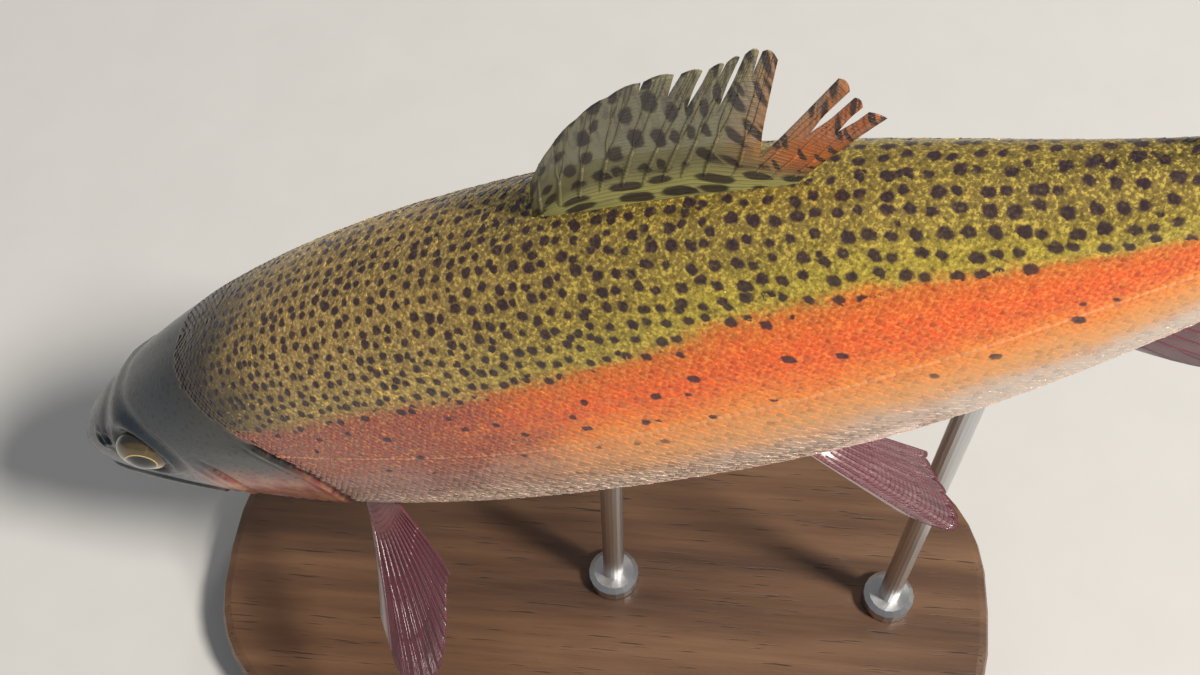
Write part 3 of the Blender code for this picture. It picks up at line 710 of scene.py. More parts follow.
def mouth_relief(s, z, share):
    """The mouth's slit, its lips and the strap of the upper lip bone over its corner."""
    above = metres(z - (MOUTH_START - MOUTH_SLOPE * s))
    in_mouth = smooth((JAW_JOINT + 0.002 - s) / 0.006)
    slit = -0.0010 * hump(above, 0.00036) * in_mouth
    lips = (0.00020 * hump(above - 0.0010, 0.0007) + 0.00026 * hump(above + 0.0011, 0.0008)) * in_mouth
    strap_top = 0.0014 + 0.0024 * smooth((s - 0.020) / 0.055)
    round_end = metres(JAW_JOINT - s) - 0.0016 + np.sqrt(np.maximum(0.0019 ** 2 - (above - 0.0019) ** 2, 0))
    inside = smooth((above - 0.0002) / 0.0005) * smooth((strap_top - above) / 0.0005)
    inside = inside * smooth(round_end / 0.0006) * smooth((s - 0.014) / 0.01)
    brim = -0.00022 * hump(above - strap_top - 0.0002, 0.0004) * smooth((s - 0.02) / 0.01) * in_mouth
    chin = 0.00035 * hump(metres(s - 0.012), 0.0025) * smooth((share - 0.62) / 0.1)
    ramus = -0.00045 * hump((share - 0.86) * half_girth(s), 0.0009)
    ramus = ramus * smooth((s - 0.015) / 0.02) * smooth((0.13 - s) / 0.02)
    return slit + lips + 0.00045 * inside + brim + chin + ramus


print("the mouth reaches back", round(metres(JAW_JOINT) * 1000, 1), "mm")

# %% [markdown]
# Round the eye the skin makes a raised ring with a groove on both sides, and a brow above it.
# Two nostrils lie before it, the hind one smaller, each a pit with a rim. All are round bumps
# and dents, so one soft hump, read at a distance from each, does for them.

# %% Eye rings and nostrils
EYE_STATION = 0.092
EYE_HEIGHT = 0.027
NOSTRILS = ((0.0465, 0.0290, 0.00062), (0.0560, 0.0318, 0.00050))    # station, height, radius in metres


def eye_relief(s, z):
    """The ring of skin round the eye, the brow, the cheek's fullness and the nostrils."""
    from_eye = metres(np.hypot(s - EYE_STATION, z - EYE_HEIGHT))
    ring = 0.00042 * hump(from_eye - 0.0055, 0.0009) - 0.0006 * hump(from_eye - 0.0042, 0.0005)
    orbit = -0.00018 * hump(from_eye - 0.0078, 0.0009)
    over_eye = smooth((s - 0.065) / 0.02) * smooth((0.125 - s) / 0.02)
    brow = 0.00030 * hump(metres(z - 0.053), 0.0014) * over_eye
    cheek = 0.00025 * hump(s - 0.135, 0.020) * hump(z - 0.002, 0.026)
    pits = 0
    for at_s, at_z, radius in NOSTRILS:
        away = metres(np.hypot(s - at_s, z - at_z))
        pits = pits - 0.0010 * hump(away, radius) + 0.00022 * hump(away - 2.0 * radius, 0.7 * radius)
    return ring + orbit + brow + cheek + pits


print("the eye lies", round(metres(EYE_STATION) * 1000, 1), "mm behind the snout")

# %% [markdown]
# The formulas are added up, and the same places say how much of each point gets the creases'
# painted shade, rosy cheek or pale jaw, and where bare skin ends and the scales begin. Painting
# these by hand would drift from the folds, whereas the same formulas keep them together.

# %% Whole head
def head_relief(s, z, share):
    """How far the skin stands out from the plain form, in metres."""
    whole = gill_relief(s, z, share)
    front = plate_relief(s, z, share) + mouth_relief(s, z, share) + eye_relief(s, z)
    return whole + front * smooth((0.245 - s) / 0.01)


def head_parts(s, z, share, raised):
    """Painted shade of the creases, rosy cheek and pale jaw, as amounts from 0 to 1, and how bare the skin
    is.
    """
    crease_shade = smooth(-raised / 0.0007)
    edge = gill_edge(z, share)
    cheek = smooth((s - 0.105) / 0.045) * smooth((0.028 - z) / 0.035) * smooth((z + 0.092) / 0.020)
    cheek = cheek * smooth((edge + 0.012 - s) / 0.010)
    jaw_line = MOUTH_START - MOUTH_SLOPE * s
    jaw = smooth((jaw_line - 0.010 - z) / 0.018) * smooth((0.17 - s) / 0.06)
    jaw = np.maximum(jaw, smooth((share - 0.80) / 0.15) * smooth((0.26 - s) / 0.05))
    bare = smooth((edge + 0.010 - s) / 0.012)
    return np.stack([crease_shade, cheek, jaw], axis=-1), bare


print("the skin sinks", round(float(-head_relief(0.05, -0.0235, 0.7)) * 1000, 2), "mm at the mouth's slit")

# %% [markdown]
# ## One skin
# Head, lips, jaw, gill covers, trunk and stalk are separate solids, and their seams would show. A
# union of them would keep every ridge, so one closed grid of rings replaces them all. The rings
# stand close on the head, where folds need fine steps, and wider on the trunk, under the coat.

# %% Skin
HALF_RING = 128             # faces from the ridge to the belly
SNOUT_END = 0.02            # up to here the rings crowd towards the tip
FINE_END = 0.262            # up to here they stand HEAD_STEP apart
HEAD_STEP = 0.00036         # metres


def skin_stations():
    snout = SNOUT_END * (np.arange(1, 30) / 29) ** 2
    head = np.arange(SNOUT_END, FINE_END, HEAD_STEP / STANDARD_LENGTH)[1:]
    trunk = np.linspace(FINE_END, TAIL_THINS_FROM, 140)[1:]
    tail = TAIL_THINS_FROM + (TAIL_END - TAIL_THINS_FROM) * np.sin(np.linspace(0, math.pi / 2, 14))[1:]
    return np.concatenate([snout, head, trunk, tail])


def surface_normals(grid):
    """Outward directions of a grid of rings that runs down the left side and up the right."""
    along = np.gradient(grid, axis=0)
    around = np.roll(grid, -1, axis=1) - np.roll(grid, 1, axis=1)
    facing = np.cross(around, along)
    return facing / np.maximum(np.linalg.norm(facing, axis=-1, keepdims=True), 1e-12)


def ring_faces(rings, sides):
    i, j = np.meshgrid(np.arange(rings - 1), np.arange(sides), indexing="ij")
    after = (j + 1) % sides
    quads = np.stack([i * sides + j, i * sides + after, (i + 1) * sides + after, (i + 1) * sides + j], -1)
    return quads.reshape(-1, 4)


def make_skin():
    s = skin_stations()[:, None]
    share = np.concatenate([np.arange(HALF_RING + 1), np.arange(HALF_RING - 1, 0, -1)])[None, :] / HALF_RING
    side = np.where(np.arange(2 * HALF_RING) <= HALF_RING, -1.0, 1.0)[None, :]
    s, share, side = np.broadcast_arrays(s, share, side)
    grid = body_point(s, share, side)
    height = grid[..., 2] / STANDARD_LENGTH
    raised = head_relief(s, height, share)
    grid = grid + surface_normals(grid) * raised[..., None]
    parts, bare = head_parts(s, height, share, raised)

    points = placed(grid.reshape(-1, 3))
    tip = placed(np.array([[0.0001, 0, 0]]))
    faces = [tuple(f) for f in ring_faces(*s.shape)]
    last = len(points)
    faces += [(last, (k + 1) % (2 * HALF_RING), k) for k in range(2 * HALF_RING)]

    def with_tip(values):
        flat = flat_rows(values)
        return np.concatenate([flat, flat[:1]])

    attributes = {name: with_tip(values) for name, values in body_marks(s, share, side).items()}
    attributes["head_parts"] = with_tip(parts)
    attributes["bare_head"] = with_tip(bare)
    made = add_piece("trout_skin", np.vstack([points, tip]), faces, SKIN_FINISH, attributes)
    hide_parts("head", "jaw_lower", "maxilla_left", "maxilla_right", "gill_cover_left",
                "gill_cover_right", "trunk_front", "trunk_rear", "tail_stalk")


make_skin()

# %% [markdown]
# ## The coat of scales
# A trout has some 120 to 160 small scales along its side, and this one a few more. Each is a
# rounded plate, rooted in the skin and lapped over the two behind it like a roof tile. Particles
# or instances would be quicker, but only real meshes leave Blender whole. So one scale is drawn
# as a template, and arrays copy it to every place. Its finish adds a pale rim and a few glints
# to the body's colours, and each scale has a tone of its own.

# %% Scale finish
RIM_RED = (1.00, 0.40, 0.16)
RIM_OLIVE = (0.50, 0.38, 0.08)
ROOT_SHADE = (0.04, 0.02, 0.01)
GLINT_GOLD = (1.00, 0.68, 0.14)
BLACK = (0.0, 0.0, 0.0)
WHITE = (1.0, 1.0, 1.0)


def make_scale_finish():
    made, tree, shader = new_finish("trout_scales", Coat_Weight=0.30, Coat_Roughness=0.08, IOR=1.42,
                                    Specular_IOR_Level=0.3)
    colour, spotted, below, place = body_paint(tree)
    luck = read(tree, "scale_luck", "Fac")
    rim = read(tree, "scale_rim", "Fac")
    from_top, _, s = read_parts(tree, "bands")
    on_back = between(tree, from_top, 0.02, -0.04)
    past_nape = between(tree, s, 0.185, 0.260)

    tone = mix(tree, do(tree, "MULTIPLY_ADD", luck, 0.50, 0.75), BLACK, WHITE)
    toned = mix(tree, 1.0, colour, tone, "MULTIPLY")
    pale_rim = mix(tree, 0.45, colour, mix(tree, on_back, RIM_RED, RIM_OLIVE))
    rimmed = mix(tree, times(tree, between(tree, rim, 0.60, 1.0), past_nape, 0.40), toned, pale_rim)
    shaded_root = mix(tree, 0.6, colour, ROOT_SHADE)
    rooted = mix(tree, times(tree, between(tree, rim, 0.45, 0.0), 0.5), rimmed, shaded_root)
    sparks = between(tree, noise(tree, place, 1500.0, 1.0), 0.64, 0.70)
    glint = times(tree, sparks, between(tree, luck, 0.45, 0.55), on_back, past_nape)
    glinting = mix(tree, times(tree, glint, 0.85), rooted, GLINT_GOLD)
    marked = mix(tree, times(tree, spotted, 0.90), glinting, SPOT)

    metal = do(tree, "ADD", times(tree, below, 0.35), times(tree, glint, 0.6))
    metal = times(tree, do(tree, "ADD", metal, 0.12), opposite(tree, spotted))
    fill(tree, shader, Base_Color=marked, Metallic=metal,
         Roughness=do(tree, "MULTIPLY_ADD", luck, 0.18, 0.24))
    relief(tree, shader, noise(tree, place, 2600.0, 2.0), 0.00004)
    return made


SCALE_FINISH = make_scale_finish()

# %% [markdown]
# On the fish the scales stand in rows that slant like brickwork, and one row follows the lateral
# line. So the lattice is counted from that line: every second row is set half a scale back, and
# each place is moved a little by chance. Scales are smaller behind the head and on the stalk.

# %% Scale places
SCALE_LENGTH = 0.00112      # spacing along a row at the middle of the body, metres
ROW_STEP = 0.74             # spacing between rows, as a share of that
SCALES_START = 0.004        # behind the gill cover's edge
SCALES_END = 1.008
LAST_ROWS = 0.016           # over this length the scales thin out on the root of the tail fin


def scale_size(s):
    """Scales are small behind the head and on the tail stalk."""
    grown = 0.74 + 0.26 * smooth((s - 0.19) / 0.20)
    return SCALE_LENGTH * grown * (1 - 0.30 * smooth((s - 0.62) / 0.38))


SCALE_COUNT = np.concatenate([[0], np.cumsum(STANDARD_LENGTH * 0.001 / scale_size(FINE_S[:-1]))])


def scale_places(rng):
    """Stations and shares of all the scales of one side."""
    columns = np.arange(0, int(np.interp(SCALES_END, FINE_S, SCALE_COUNT)) + 1)
    rows = np.arange(-100, 101)
    column, row = np.meshgrid(columns, rows, indexing="ij")
    count = column + 0.5 * (row % 2) + rng.uniform(-0.05, 0.05, column.shape)
    s = np.interp(count, SCALE_COUNT, FINE_S)
    step = scale_size(s) * ROW_STEP / half_girth(s)
    share = lateral_share(s) + (row + rng.uniform(-0.05, 0.05, row.shape)) * step
    height = body_point(s, np.clip(share, 0, 1), -1.0)[..., 2] / STANDARD_LENGTH
    start = gill_edge(height, np.clip(share, 0, 1)) + SCALES_START
    end = SCALES_END - LAST_ROWS * rng.uniform(0, 1, column.shape)
    kept = (share > -0.1 * step) & (share < 1.0 + 0.1 * step) & (s > start) & (s < end)
    return s[kept], np.clip(share[kept], 0, 1), row[kept], (s - start)[kept]


line_scales = np.diff(np.interp((HEAD_END, 1.0), FINE_S, SCALE_COUNT))
print("scales along the lateral line:", round(float(line_scales[0])))

# %% [markdown]
# One scale is a thin plate, sunk at its root and lifted at its round hind edge. A real plate has
# an underside, but it lies on the skin and is never seen, so the scale is a cap with a low skirt.
# Its directions come from the skin: tailwards, down the side and outwards.

# %% Scale template
HIND_TURNS = np.radians(np.arange(-90, 91, 30))
SCALE_REACH = 1.75          # a scale's length, as a multiple of the spacing
SCALE_WIDE = 1.06           # its half width, as a multiple of the row step
SCALE_LIFT = 0.00026        # height of its hind edge over the skin, metres
SCALE_DOME = 0.00006


def scale_template():
    """Points as (along, across, height, rim) and triangles of one scale. Its cap is a fan round
    the middle, and a low skirt closes the hind edge."""
    arc = [(0.52 + 0.48 * math.cos(t), math.sin(t), 0.55 + 0.45 * math.cos(t), 1.0) for t in HIND_TURNS]
    cap = [(0.50, 0.0, 0.62, 0.35), (0.0, -0.55, -0.2, 0.0)] + arc + [(0.0, 0.55, -0.2, 0.0)]
    skirt_foot = [(0.97 * a, 0.97 * b, h - 0.9, 1.0) for a, b, h, _ in arc]
    points = np.array(cap + arc + skirt_foot)
    around = len(arc) + 2
    faces = [(0, 1 + (k + 1) % around, 1 + k) for k in range(around)]
    first = len(cap)
    for k in range(len(arc) - 1):
        top, foot = first + k, first + len(arc) + k
        faces += [(top, top + 1, foot + 1), (top, foot + 1, foot)]
    return points, np.array(faces)


def frames_at(s, share, side):
    """Place and three directions (tailwards, down the side, outwards) at points of the skin."""
    step_s, step_share = 0.002, 0.004
    low, high = np.clip(share - step_share, 0, 1), np.clip(share + step_share, 0, 1)
    along = body_point(s + step_s, share, side) - body_point(s - step_s, share, side)
    down = body_point(s, high, side) - body_point(s, low, side)
    along = along / np.linalg.norm(along, axis=-1, keepdims=True)
    down = down - along * np.sum(down * along, axis=-1, keepdims=True)
    down = down / np.linalg.norm(down, axis=-1, keepdims=True)
    out = np.cross(along, down)
    outward = body_point(s, share, side, grow=0.001) - body_point(s, share, side)
    out = out * np.sign(np.sum(out * outward, axis=-1, keepdims=True))
    return body_point(s, share, side), along, down, out


print("one scale has", len(scale_template()[0]), "points and", len(scale_template()[1]), "triangles")

# %% [markdown]
# Now the template is copied to all the places at once. Each scale differs a little in size, turn,
# lift and tone. Its markings are drawn a little towards its own middle, so that the edges of spots
# and bands follow the scales. The coat is cut in four strips a side, to keep the meshes small.

# %% Coat
STRIP_BORDERS = (0.0, 0.27, 0.46, 0.70, 1.01)       # shares of the way round
STRIP_NAMES = ("back", "upper", "lower", "belly")
PORE_RISE = 0.00012         # the lateral line's scales stand up round a pore, metres
SMALLEST = 0.62             # size of the scales at the gill cover, as a share of the full size
OWN_MARKS = 0.86            # how much of its own spread a scale's markings keep


def lay_scales(side, rng):
    """All the scales of one side: where they lie, their points, their markings and their tone."""
    s, share, row, from_head = scale_places(rng)
    place, along, down, out = frames_at(s, share, np.full(len(s), float(side)))
    template = scale_template()[0]
    is_middle = np.arange(len(template)) == 0
    growing = SMALLEST + (1 - SMALLEST) * smooth(from_head / 0.03)
    size = scale_size(s) * rng.uniform(0.94, 1.08, len(s)) * growing
    turn = rng.normal(0, 0.05, len(s))[:, None]
    luck = rng.uniform(0, 1, len(s))
    lift = SCALE_LIFT * size / SCALE_LENGTH * rng.uniform(0.85, 1.2, len(s))

    long = template[None, :, 0] * (SCALE_REACH * size)[:, None]
    wide = template[None, :, 1] * (SCALE_WIDE * ROW_STEP * size)[:, None]
    h = template[None, :, 2] * lift[:, None] + SCALE_DOME * is_middle
    h = h + PORE_RISE * ((row == 0)[:, None] & is_middle[None, :])
    a = long * np.cos(turn) - wide * np.sin(turn)
    b = long * np.sin(turn) + wide * np.cos(turn)
    points = (place[:, None, :] + along[:, None, :] * a[..., None] + down[:, None, :] * b[..., None]
              + out[:, None, :] * h[..., None])

    own_s = s[:, None] + a / STANDARD_LENGTH
    own_share = share[:, None] + b / half_girth(s)[:, None]
    middle_s = s[:, None] + 0.5 * SCALE_REACH * size[:, None] / STANDARD_LENGTH
    marks = body_marks(blend(middle_s, own_s, OWN_MARKS),
                       np.abs(blend(share[:, None], own_share, OWN_MARKS)), side)
    return s, share, points, marks, luck


def make_coat(side, rng):
    """The scales of one side, in four lengthwise strips."""
    s, share, points, marks, luck = lay_scales(side, rng)
    template, faces = scale_template()
    if side < 0:
        faces = faces[:, ::-1]
    corner = len(template)
    for strip, low, high in zip(STRIP_NAMES, STRIP_BORDERS, STRIP_BORDERS[1:]):
        picked = np.flatnonzero((share >= low) & (share < high))
        count = len(picked)
        many = faces[None, :, :] + (np.arange(count) * corner)[:, None, None]
        attributes = {key: flat_rows(values[picked]) for key, values in marks.items()}
        attributes["scale_luck"] = np.repeat(luck[picked], corner)
        attributes["scale_rim"] = np.tile(template[:, 3], count)
        across = (share[picked] - low) / (high - low)
        patch = template[None, :, :2] * np.array([0.003, 0.0015]) - np.array([0.0015, 0.0])
        flat = np.stack([0.02 + 0.96 * s[picked], 0.02 + 0.96 * across], axis=-1)[:, None, :] + patch
        which = "left" if side < 0 else "right"
        add_piece(f"coat_{which}_{strip}", placed(points[picked].reshape(-1, 3)), many.reshape(-1, 3),
                  SCALE_FINISH, attributes, flat.reshape(-1, 2))
    print("scales on the", which, "side:", len(s))


for flank in (-1, 1):
    make_coat(flank, np.random.default_rng(11 + flank))

# %% [markdown]
# ## The eyes
# A trout's eye is a wet dome with a black pupil, a little pointed towards the snout, in a gold
# iris that is dusky above. A glass dome over a painted disc would be truer, but it darkens what
# lies under it, so the dome itself is painted and has a clear coat.

# %% Eye finish
IRIS_DARK = (0.22, 0.13, 0.03)
IRIS_GOLD = (0.74, 0.52, 0.17)
IRIS_DUSK = (0.035, 0.028, 0.018)
PUPIL_RING = (0.85, 0.60, 0.22)
PUPIL = (0.004, 0.004, 0.006)
EYELID = (0.03, 0.025, 0.02)
PUPIL_RADIUS = 0.50         # as a share of the eye's radius


def make_eye_finish():
    made, tree, shader = new_finish("trout_eye", Coat_Weight=1.0, Coat_Roughness=0.02, Roughness=0.25,
                                    IOR=1.4)
    radius, forward, upward = read_parts(tree, "eye_place")
    mottle = noise(tree, here(tree), 1500.0, 4.0, 0.7)
    iris = mix(tree, mottle, IRIS_DARK, IRIS_GOLD)
    dusk = between(tree, do(tree, "MULTIPLY_ADD", mottle, 0.5, upward), 0.55, 0.95)
    to_ends = do(tree, "MULTIPLY_ADD", mottle, 0.35, do(tree, "ABSOLUTE", forward))
    shade = do(tree, "MAXIMUM", dusk, between(tree, to_ends, 0.72, 1.05))
    iris = mix(tree, times(tree, shade, 0.85), iris, IRIS_DUSK)
    point = times(tree, do(tree, "POWER", do(tree, "MAXIMUM", forward, 0.0), 5.0), 0.16)
    from_pupil = do(tree, "SUBTRACT", do(tree, "SUBTRACT", radius, PUPIL_RADIUS), point)
    ring = times(tree, between(tree, from_pupil, 0.0, 0.02), between(tree, from_pupil, 0.065, 0.03), 0.8)
    iris = mix(tree, ring, iris, PUPIL_RING)
    colour = mix(tree, between(tree, from_pupil, 0.012, -0.012), iris, PUPIL)
    colour = mix(tree, between(tree, radius, 0.88, 0.96), colour, EYELID)
    fill(tree, shader, Base_Color=colour, Metallic=times(tree, between(tree, from_pupil, 0.0, 0.02), 0.55))
    relief(tree, shader, mottle, 0.00005)
    return made


EYE_FINISH = make_eye_finish()

# %% [markdown]
# The dome is a flattened ball, sunk in the head so that only its cap shows in the ring of skin.
# Over the pupil it has a low bulge, the lens, with a faint hollow round it, which catches light.
# A stock sphere has no such bulge, so the ball is made of rings, like the skin.

# %% Eye domes
EYE_RADIUS = 0.0210 * STANDARD_LENGTH
EYE_DEPTH = 0.0130 * STANDARD_LENGTH
EYE_INSET = 0.0060          # how far its centre lies inside the head, a share of length
LENS_BULGE = 0.00022        # metres
LENS_HOLLOW = 0.00010


def eye_centre(side):
    rise = EYE_HEIGHT / outline(np.array(EYE_STATION), BACK_EDGE)
    width = (1 - rise ** BACK_FULLNESS) ** (1 / BACK_FULLNESS) * outline(np.array(EYE_STATION), SIDE_EDGE)
    return np.array([metres(EYE_STATION), side * (metres(width) - metres(EYE_INSET)), metres(EYE_HEIGHT)])


def make_eye(side, rings=40, sides=72):
    tilt = (math.pi * np.arange(1, rings) / rings)[:, None]
    turn = (2 * math.pi * np.arange(sides) / sides)[None, :]
    radius = np.sin(tilt) * np.ones_like(turn)
    lens = LENS_BULGE * np.maximum(1 - (radius / 0.42) ** 2, 0)
    hollow = -LENS_HOLLOW * hump(radius - 0.60, 0.16)
    out = EYE_DEPTH * np.cos(tilt) + (lens + hollow) * (np.cos(tilt) > 0)
    flat = EYE_RADIUS * radius
    ball = np.stack([flat * np.cos(turn), side * out, flat * np.sin(turn)], axis=-1)
    poles = np.array([[0, side * (EYE_DEPTH + LENS_BULGE), 0], [0, -side * EYE_DEPTH, 0]])
    local = np.vstack([ball.reshape(-1, 3), poles])
    faces = [tuple(f) for f in ring_faces(rings - 1, sides)]
    front, hind = len(local) - 2, len(local) - 1
    last = (rings - 2) * sides
    faces += [(front, (k + 1) % sides, k) for k in range(sides)]
    faces += [(hind, last + k, last + (k + 1) % sides) for k in range(sides)]
    if side < 0:
        faces = [tuple(reversed(f)) for f in faces]
    reach = np.hypot(local[:, 0], local[:, 2])
    away = np.where(side * local[:, 1] > 0, reach / EYE_RADIUS, 2 - reach / EYE_RADIUS)
    reach = np.maximum(reach, 1e-6)
    facts = np.stack([away, -local[:, 0] / reach, local[:, 2] / reach], axis=-1)
    name = "left" if side < 0 else "right"
    made = add_piece(f"eye_dome_{name}", placed(local + eye_centre(side)), faces, EYE_FINISH,
                     {"eye_place": facts})
    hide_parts(f"eye_{name}")


for flank in (-1, 1):
    make_eye(flank)

# %% [markdown]
# ## The fins
# A fin is a thin web on branching rays. The rays are fleshy at the root, split in two about
# half way and in two again near the tip. A flat card with a picture of rays would be simpler,
# but its edge would be plain from any side. So the web is a thin solid sheet and the rays are
# slim tubes along it. Each kind of fin has a formula for where a point of its sheet lies.

# %% Fin shapes
FIN_SUNK = 0.010            # how deep a fin's root lies in the body, a share of length


def spread_fin(fin, u):
    """Length of the ray that stands at the share u of the fin's base."""
    longest = fin["longest_at"]
    growth = 1 - (1 - np.minimum(u / longest, 1)) ** 2
    high_until = fin.get("high_until", longest)
    fall = smooth((u - high_until) / (1 - high_until))
    return fin["first"] + fin["rise"] * growth - fin["fall"] * fall


def upright_fin(fin, u, v):
    """Dorsal and anal fins: rays that lean back from the ridge or the belly."""
    s = blend(*fin["base"], u)
    lean, length = np.radians(blend(*fin["lean"], u)), spread_fin(fin, u)
    edge = BACK_EDGE if fin["up"] > 0 else BELLY_EDGE
    root_z = fin["up"] * (outline(s, edge) - FIN_SUNK)
    return np.stack([s + v * length * np.cos(lean) + fin["bow"] * v * (1 - v), 0 * s * v,
                     root_z + fin["up"] * v * length * np.sin(lean)], axis=-1)


def fat_fin(fin, u, v):
    s = blend(*fin["base"], u)
    turn = math.pi / 2 * u
    start, reach = fin["lobe"]
    foot, height = fin["crest"]
    tip = (start + reach * np.sin(turn), outline(np.array(start), BACK_EDGE) + foot + height * np.cos(turn))
    root = (s, outline(s, BACK_EDGE) - FIN_SUNK)
    x = blend(root[0], tip[0], v) + fin["bow"] * v * (1 - v)
    return np.stack([x, 0 * x, blend(root[1], tip[1], v)], axis=-1)


def tail_fin(fin, u, v):
    across = 1 - 2 * u
    near_tip = (np.abs(across) - fin["tip_from"]) / (1 - fin["tip_from"])
    reach = fin["fork"] + fin["lobe"] * np.abs(across) ** 1.5 - fin["tip_rounding"] * smooth(near_tip)
    x = blend(fin["start"], reach, v) + fin["bow"] * v * (1 - v)
    return np.stack([x, 0 * x, across * blend(fin["base_height"], fin["span"], v)], axis=-1)


def paired_fin(fin, u, v):
    """Pectoral and pelvic fins: rays that fan out from a short base on each side."""
    u = np.asarray(u)[..., None]
    v = np.asarray(v)[..., None]
    root = blend(np.array(fin["base"][0]), np.array(fin["base"][1]), u)
    aim = blend(np.array(fin["aim"][0]), np.array(fin["aim"][1]), u ** fin["spread"])
    aim = aim / np.linalg.norm(aim, axis=-1, keepdims=True)
    bow = np.array([fin["bow"], 0, 0]) * v * (1 - v)
    return (root + aim * v * spread_fin(fin, u) + bow) * np.array([1, fin["turn"], 1])


print("fin roots lie", round(metres(FIN_SUNK) * 1000, 1), "mm inside the edge of the body")

# %% [markdown]
# Each fin is now a short list of sizes: where its base lies, how its rays lean, how long the
# first and the longest are, and how many it has. The dorsal fin is worn. Slits part the tips of
# its rays, one tear runs deep, and the last rays behind it are separate fingers.

# %% Fin sizes
# A slit is (where it starts along the ray, half its width in rays), for the border it lies on.
DORSAL_SLITS = {4: (0.90, 0.08), 5: (0.82, 0.11), 6: (0.72, 0.15), 7: (0.86, 0.09), 8: (0.66, 0.15),
                9: (0.84, 0.11), 10: (0.38, 0.05), 11: (0.62, 0.20), 12: (0.72, 0.20)}
# The deep tear: its border, where it starts along the ray, and how far it pushes the web ahead.
DORSAL_TEAR = (10, 0.38, (-0.0225, 0.0225))
DORSAL = dict(node="dorsal_fin", base=(0.470, 0.612), lean=(66, 28), first=0.039, rise=0.086,
              fall=0.044, longest_at=0.42, high_until=0.66, bow=-0.006, up=1, rays=13,
              form=upright_fin, thick=0.00042, slits=DORSAL_SLITS, tear=DORSAL_TEAR, wave=0.003,
              flat_length=12.0, flat_height=11.0)
ANAL = dict(node="anal_fin", base=(0.735, 0.832), lean=(58, 36), first=0.034, rise=0.078,
            fall=0.048, longest_at=0.21, bow=0.006, up=-1, rays=11, form=upright_fin,
            thick=0.00036, wave=0.002)
ADIPOSE = dict(node="adipose_fin", base=(0.822, 0.846), lobe=(0.848, 0.028), crest=(0.008, 0.030),
               bow=-0.006)
TAIL = dict(node="caudal_fin", start=0.960, base_height=0.046, fork=1.112, lobe=0.060, span=0.108,
            tip_from=0.86, tip_rounding=0.020, bow=-0.010, rays=21, form=tail_fin, thick=0.00050, wave=0.003)
PECTORAL = dict(node="pectoral_fin", base=((0.214, 0.040, -0.076), (0.240, 0.048, -0.068)),
                aim=((-0.02, 0.86, -0.50), (0.52, 0.68, -0.44)), spread=0.8, first=0.098, rise=0.056,
                fall=0.074, longest_at=0.15, bow=0.012, rays=13, form=paired_fin, thick=0.00040, wave=0.003)
PELVIC = dict(node="pelvic_fin", base=((0.536, 0.034, -0.098), (0.556, 0.016, -0.106)),
              aim=((0.72, 0.44, -0.66), (0.72, 0.14, -0.60)), spread=1.0, first=0.090, rise=0.034,
              fall=0.046, longest_at=0.22, bow=0.0, rays=9, form=paired_fin, thick=0.00038, wave=0.002)
print("longest dorsal ray:", round(float(spread_fin(DORSAL, 0.5)) * STANDARD_LENGTH * 1000, 1), "mm")

# %% [markdown]
# Fin colours read each point's place on the fin: how far back along the base, how far out along
# the ray, whether it is on a ray, and its place in a lattice of spots. The olive fins have dark
# spots, drawn long beside the base and long along the rays further out, and the dorsal fin's
# hind rays turn orange-brown. The low fins are maroon with a whitish front edge.

# %% Fin finishes
FIN_ORANGE = (0.580, 0.165, 0.030)
FIN_RUST = (0.400, 0.105, 0.030)
FIN_STREAK = (0.045, 0.032, 0.034)
RAY_JOINT = (0.040, 0.030, 0.020)
FIN_SPOT = (0.022, 0.015, 0.018)
PALE_EDGE = (0.720, 0.660, 0.600)


def stretched(tree, place, *scales):
    """The place with its numbers scaled: what is drawn there grows longer as a scale falls."""
    return move_place(tree, "MULTIPLY", place, scales)


def fin_spots(tree, flat, out_along, chance):
    """Spots that lie long beside the base, and along the rays further out."""
    uneven = shifted(tree, flat, 1.2, 0.4)
    low = dots(tree, stretched(tree, uneven, 0.74, 0.86, 1.0), 1.0, 0.24, 0.40, chance, 2.2, 0.07, 0.55)
    high = dots(tree, stretched(tree, uneven, 1.30, 0.46, 1.0), 1.0, 0.20, 0.36, chance, 2.2, 0.07, 0.55)
    higher = between(tree, out_along, 0.26, 0.34)
    return do(tree, "ADD", times(tree, high, higher), times(tree, low, opposite(tree, higher)))


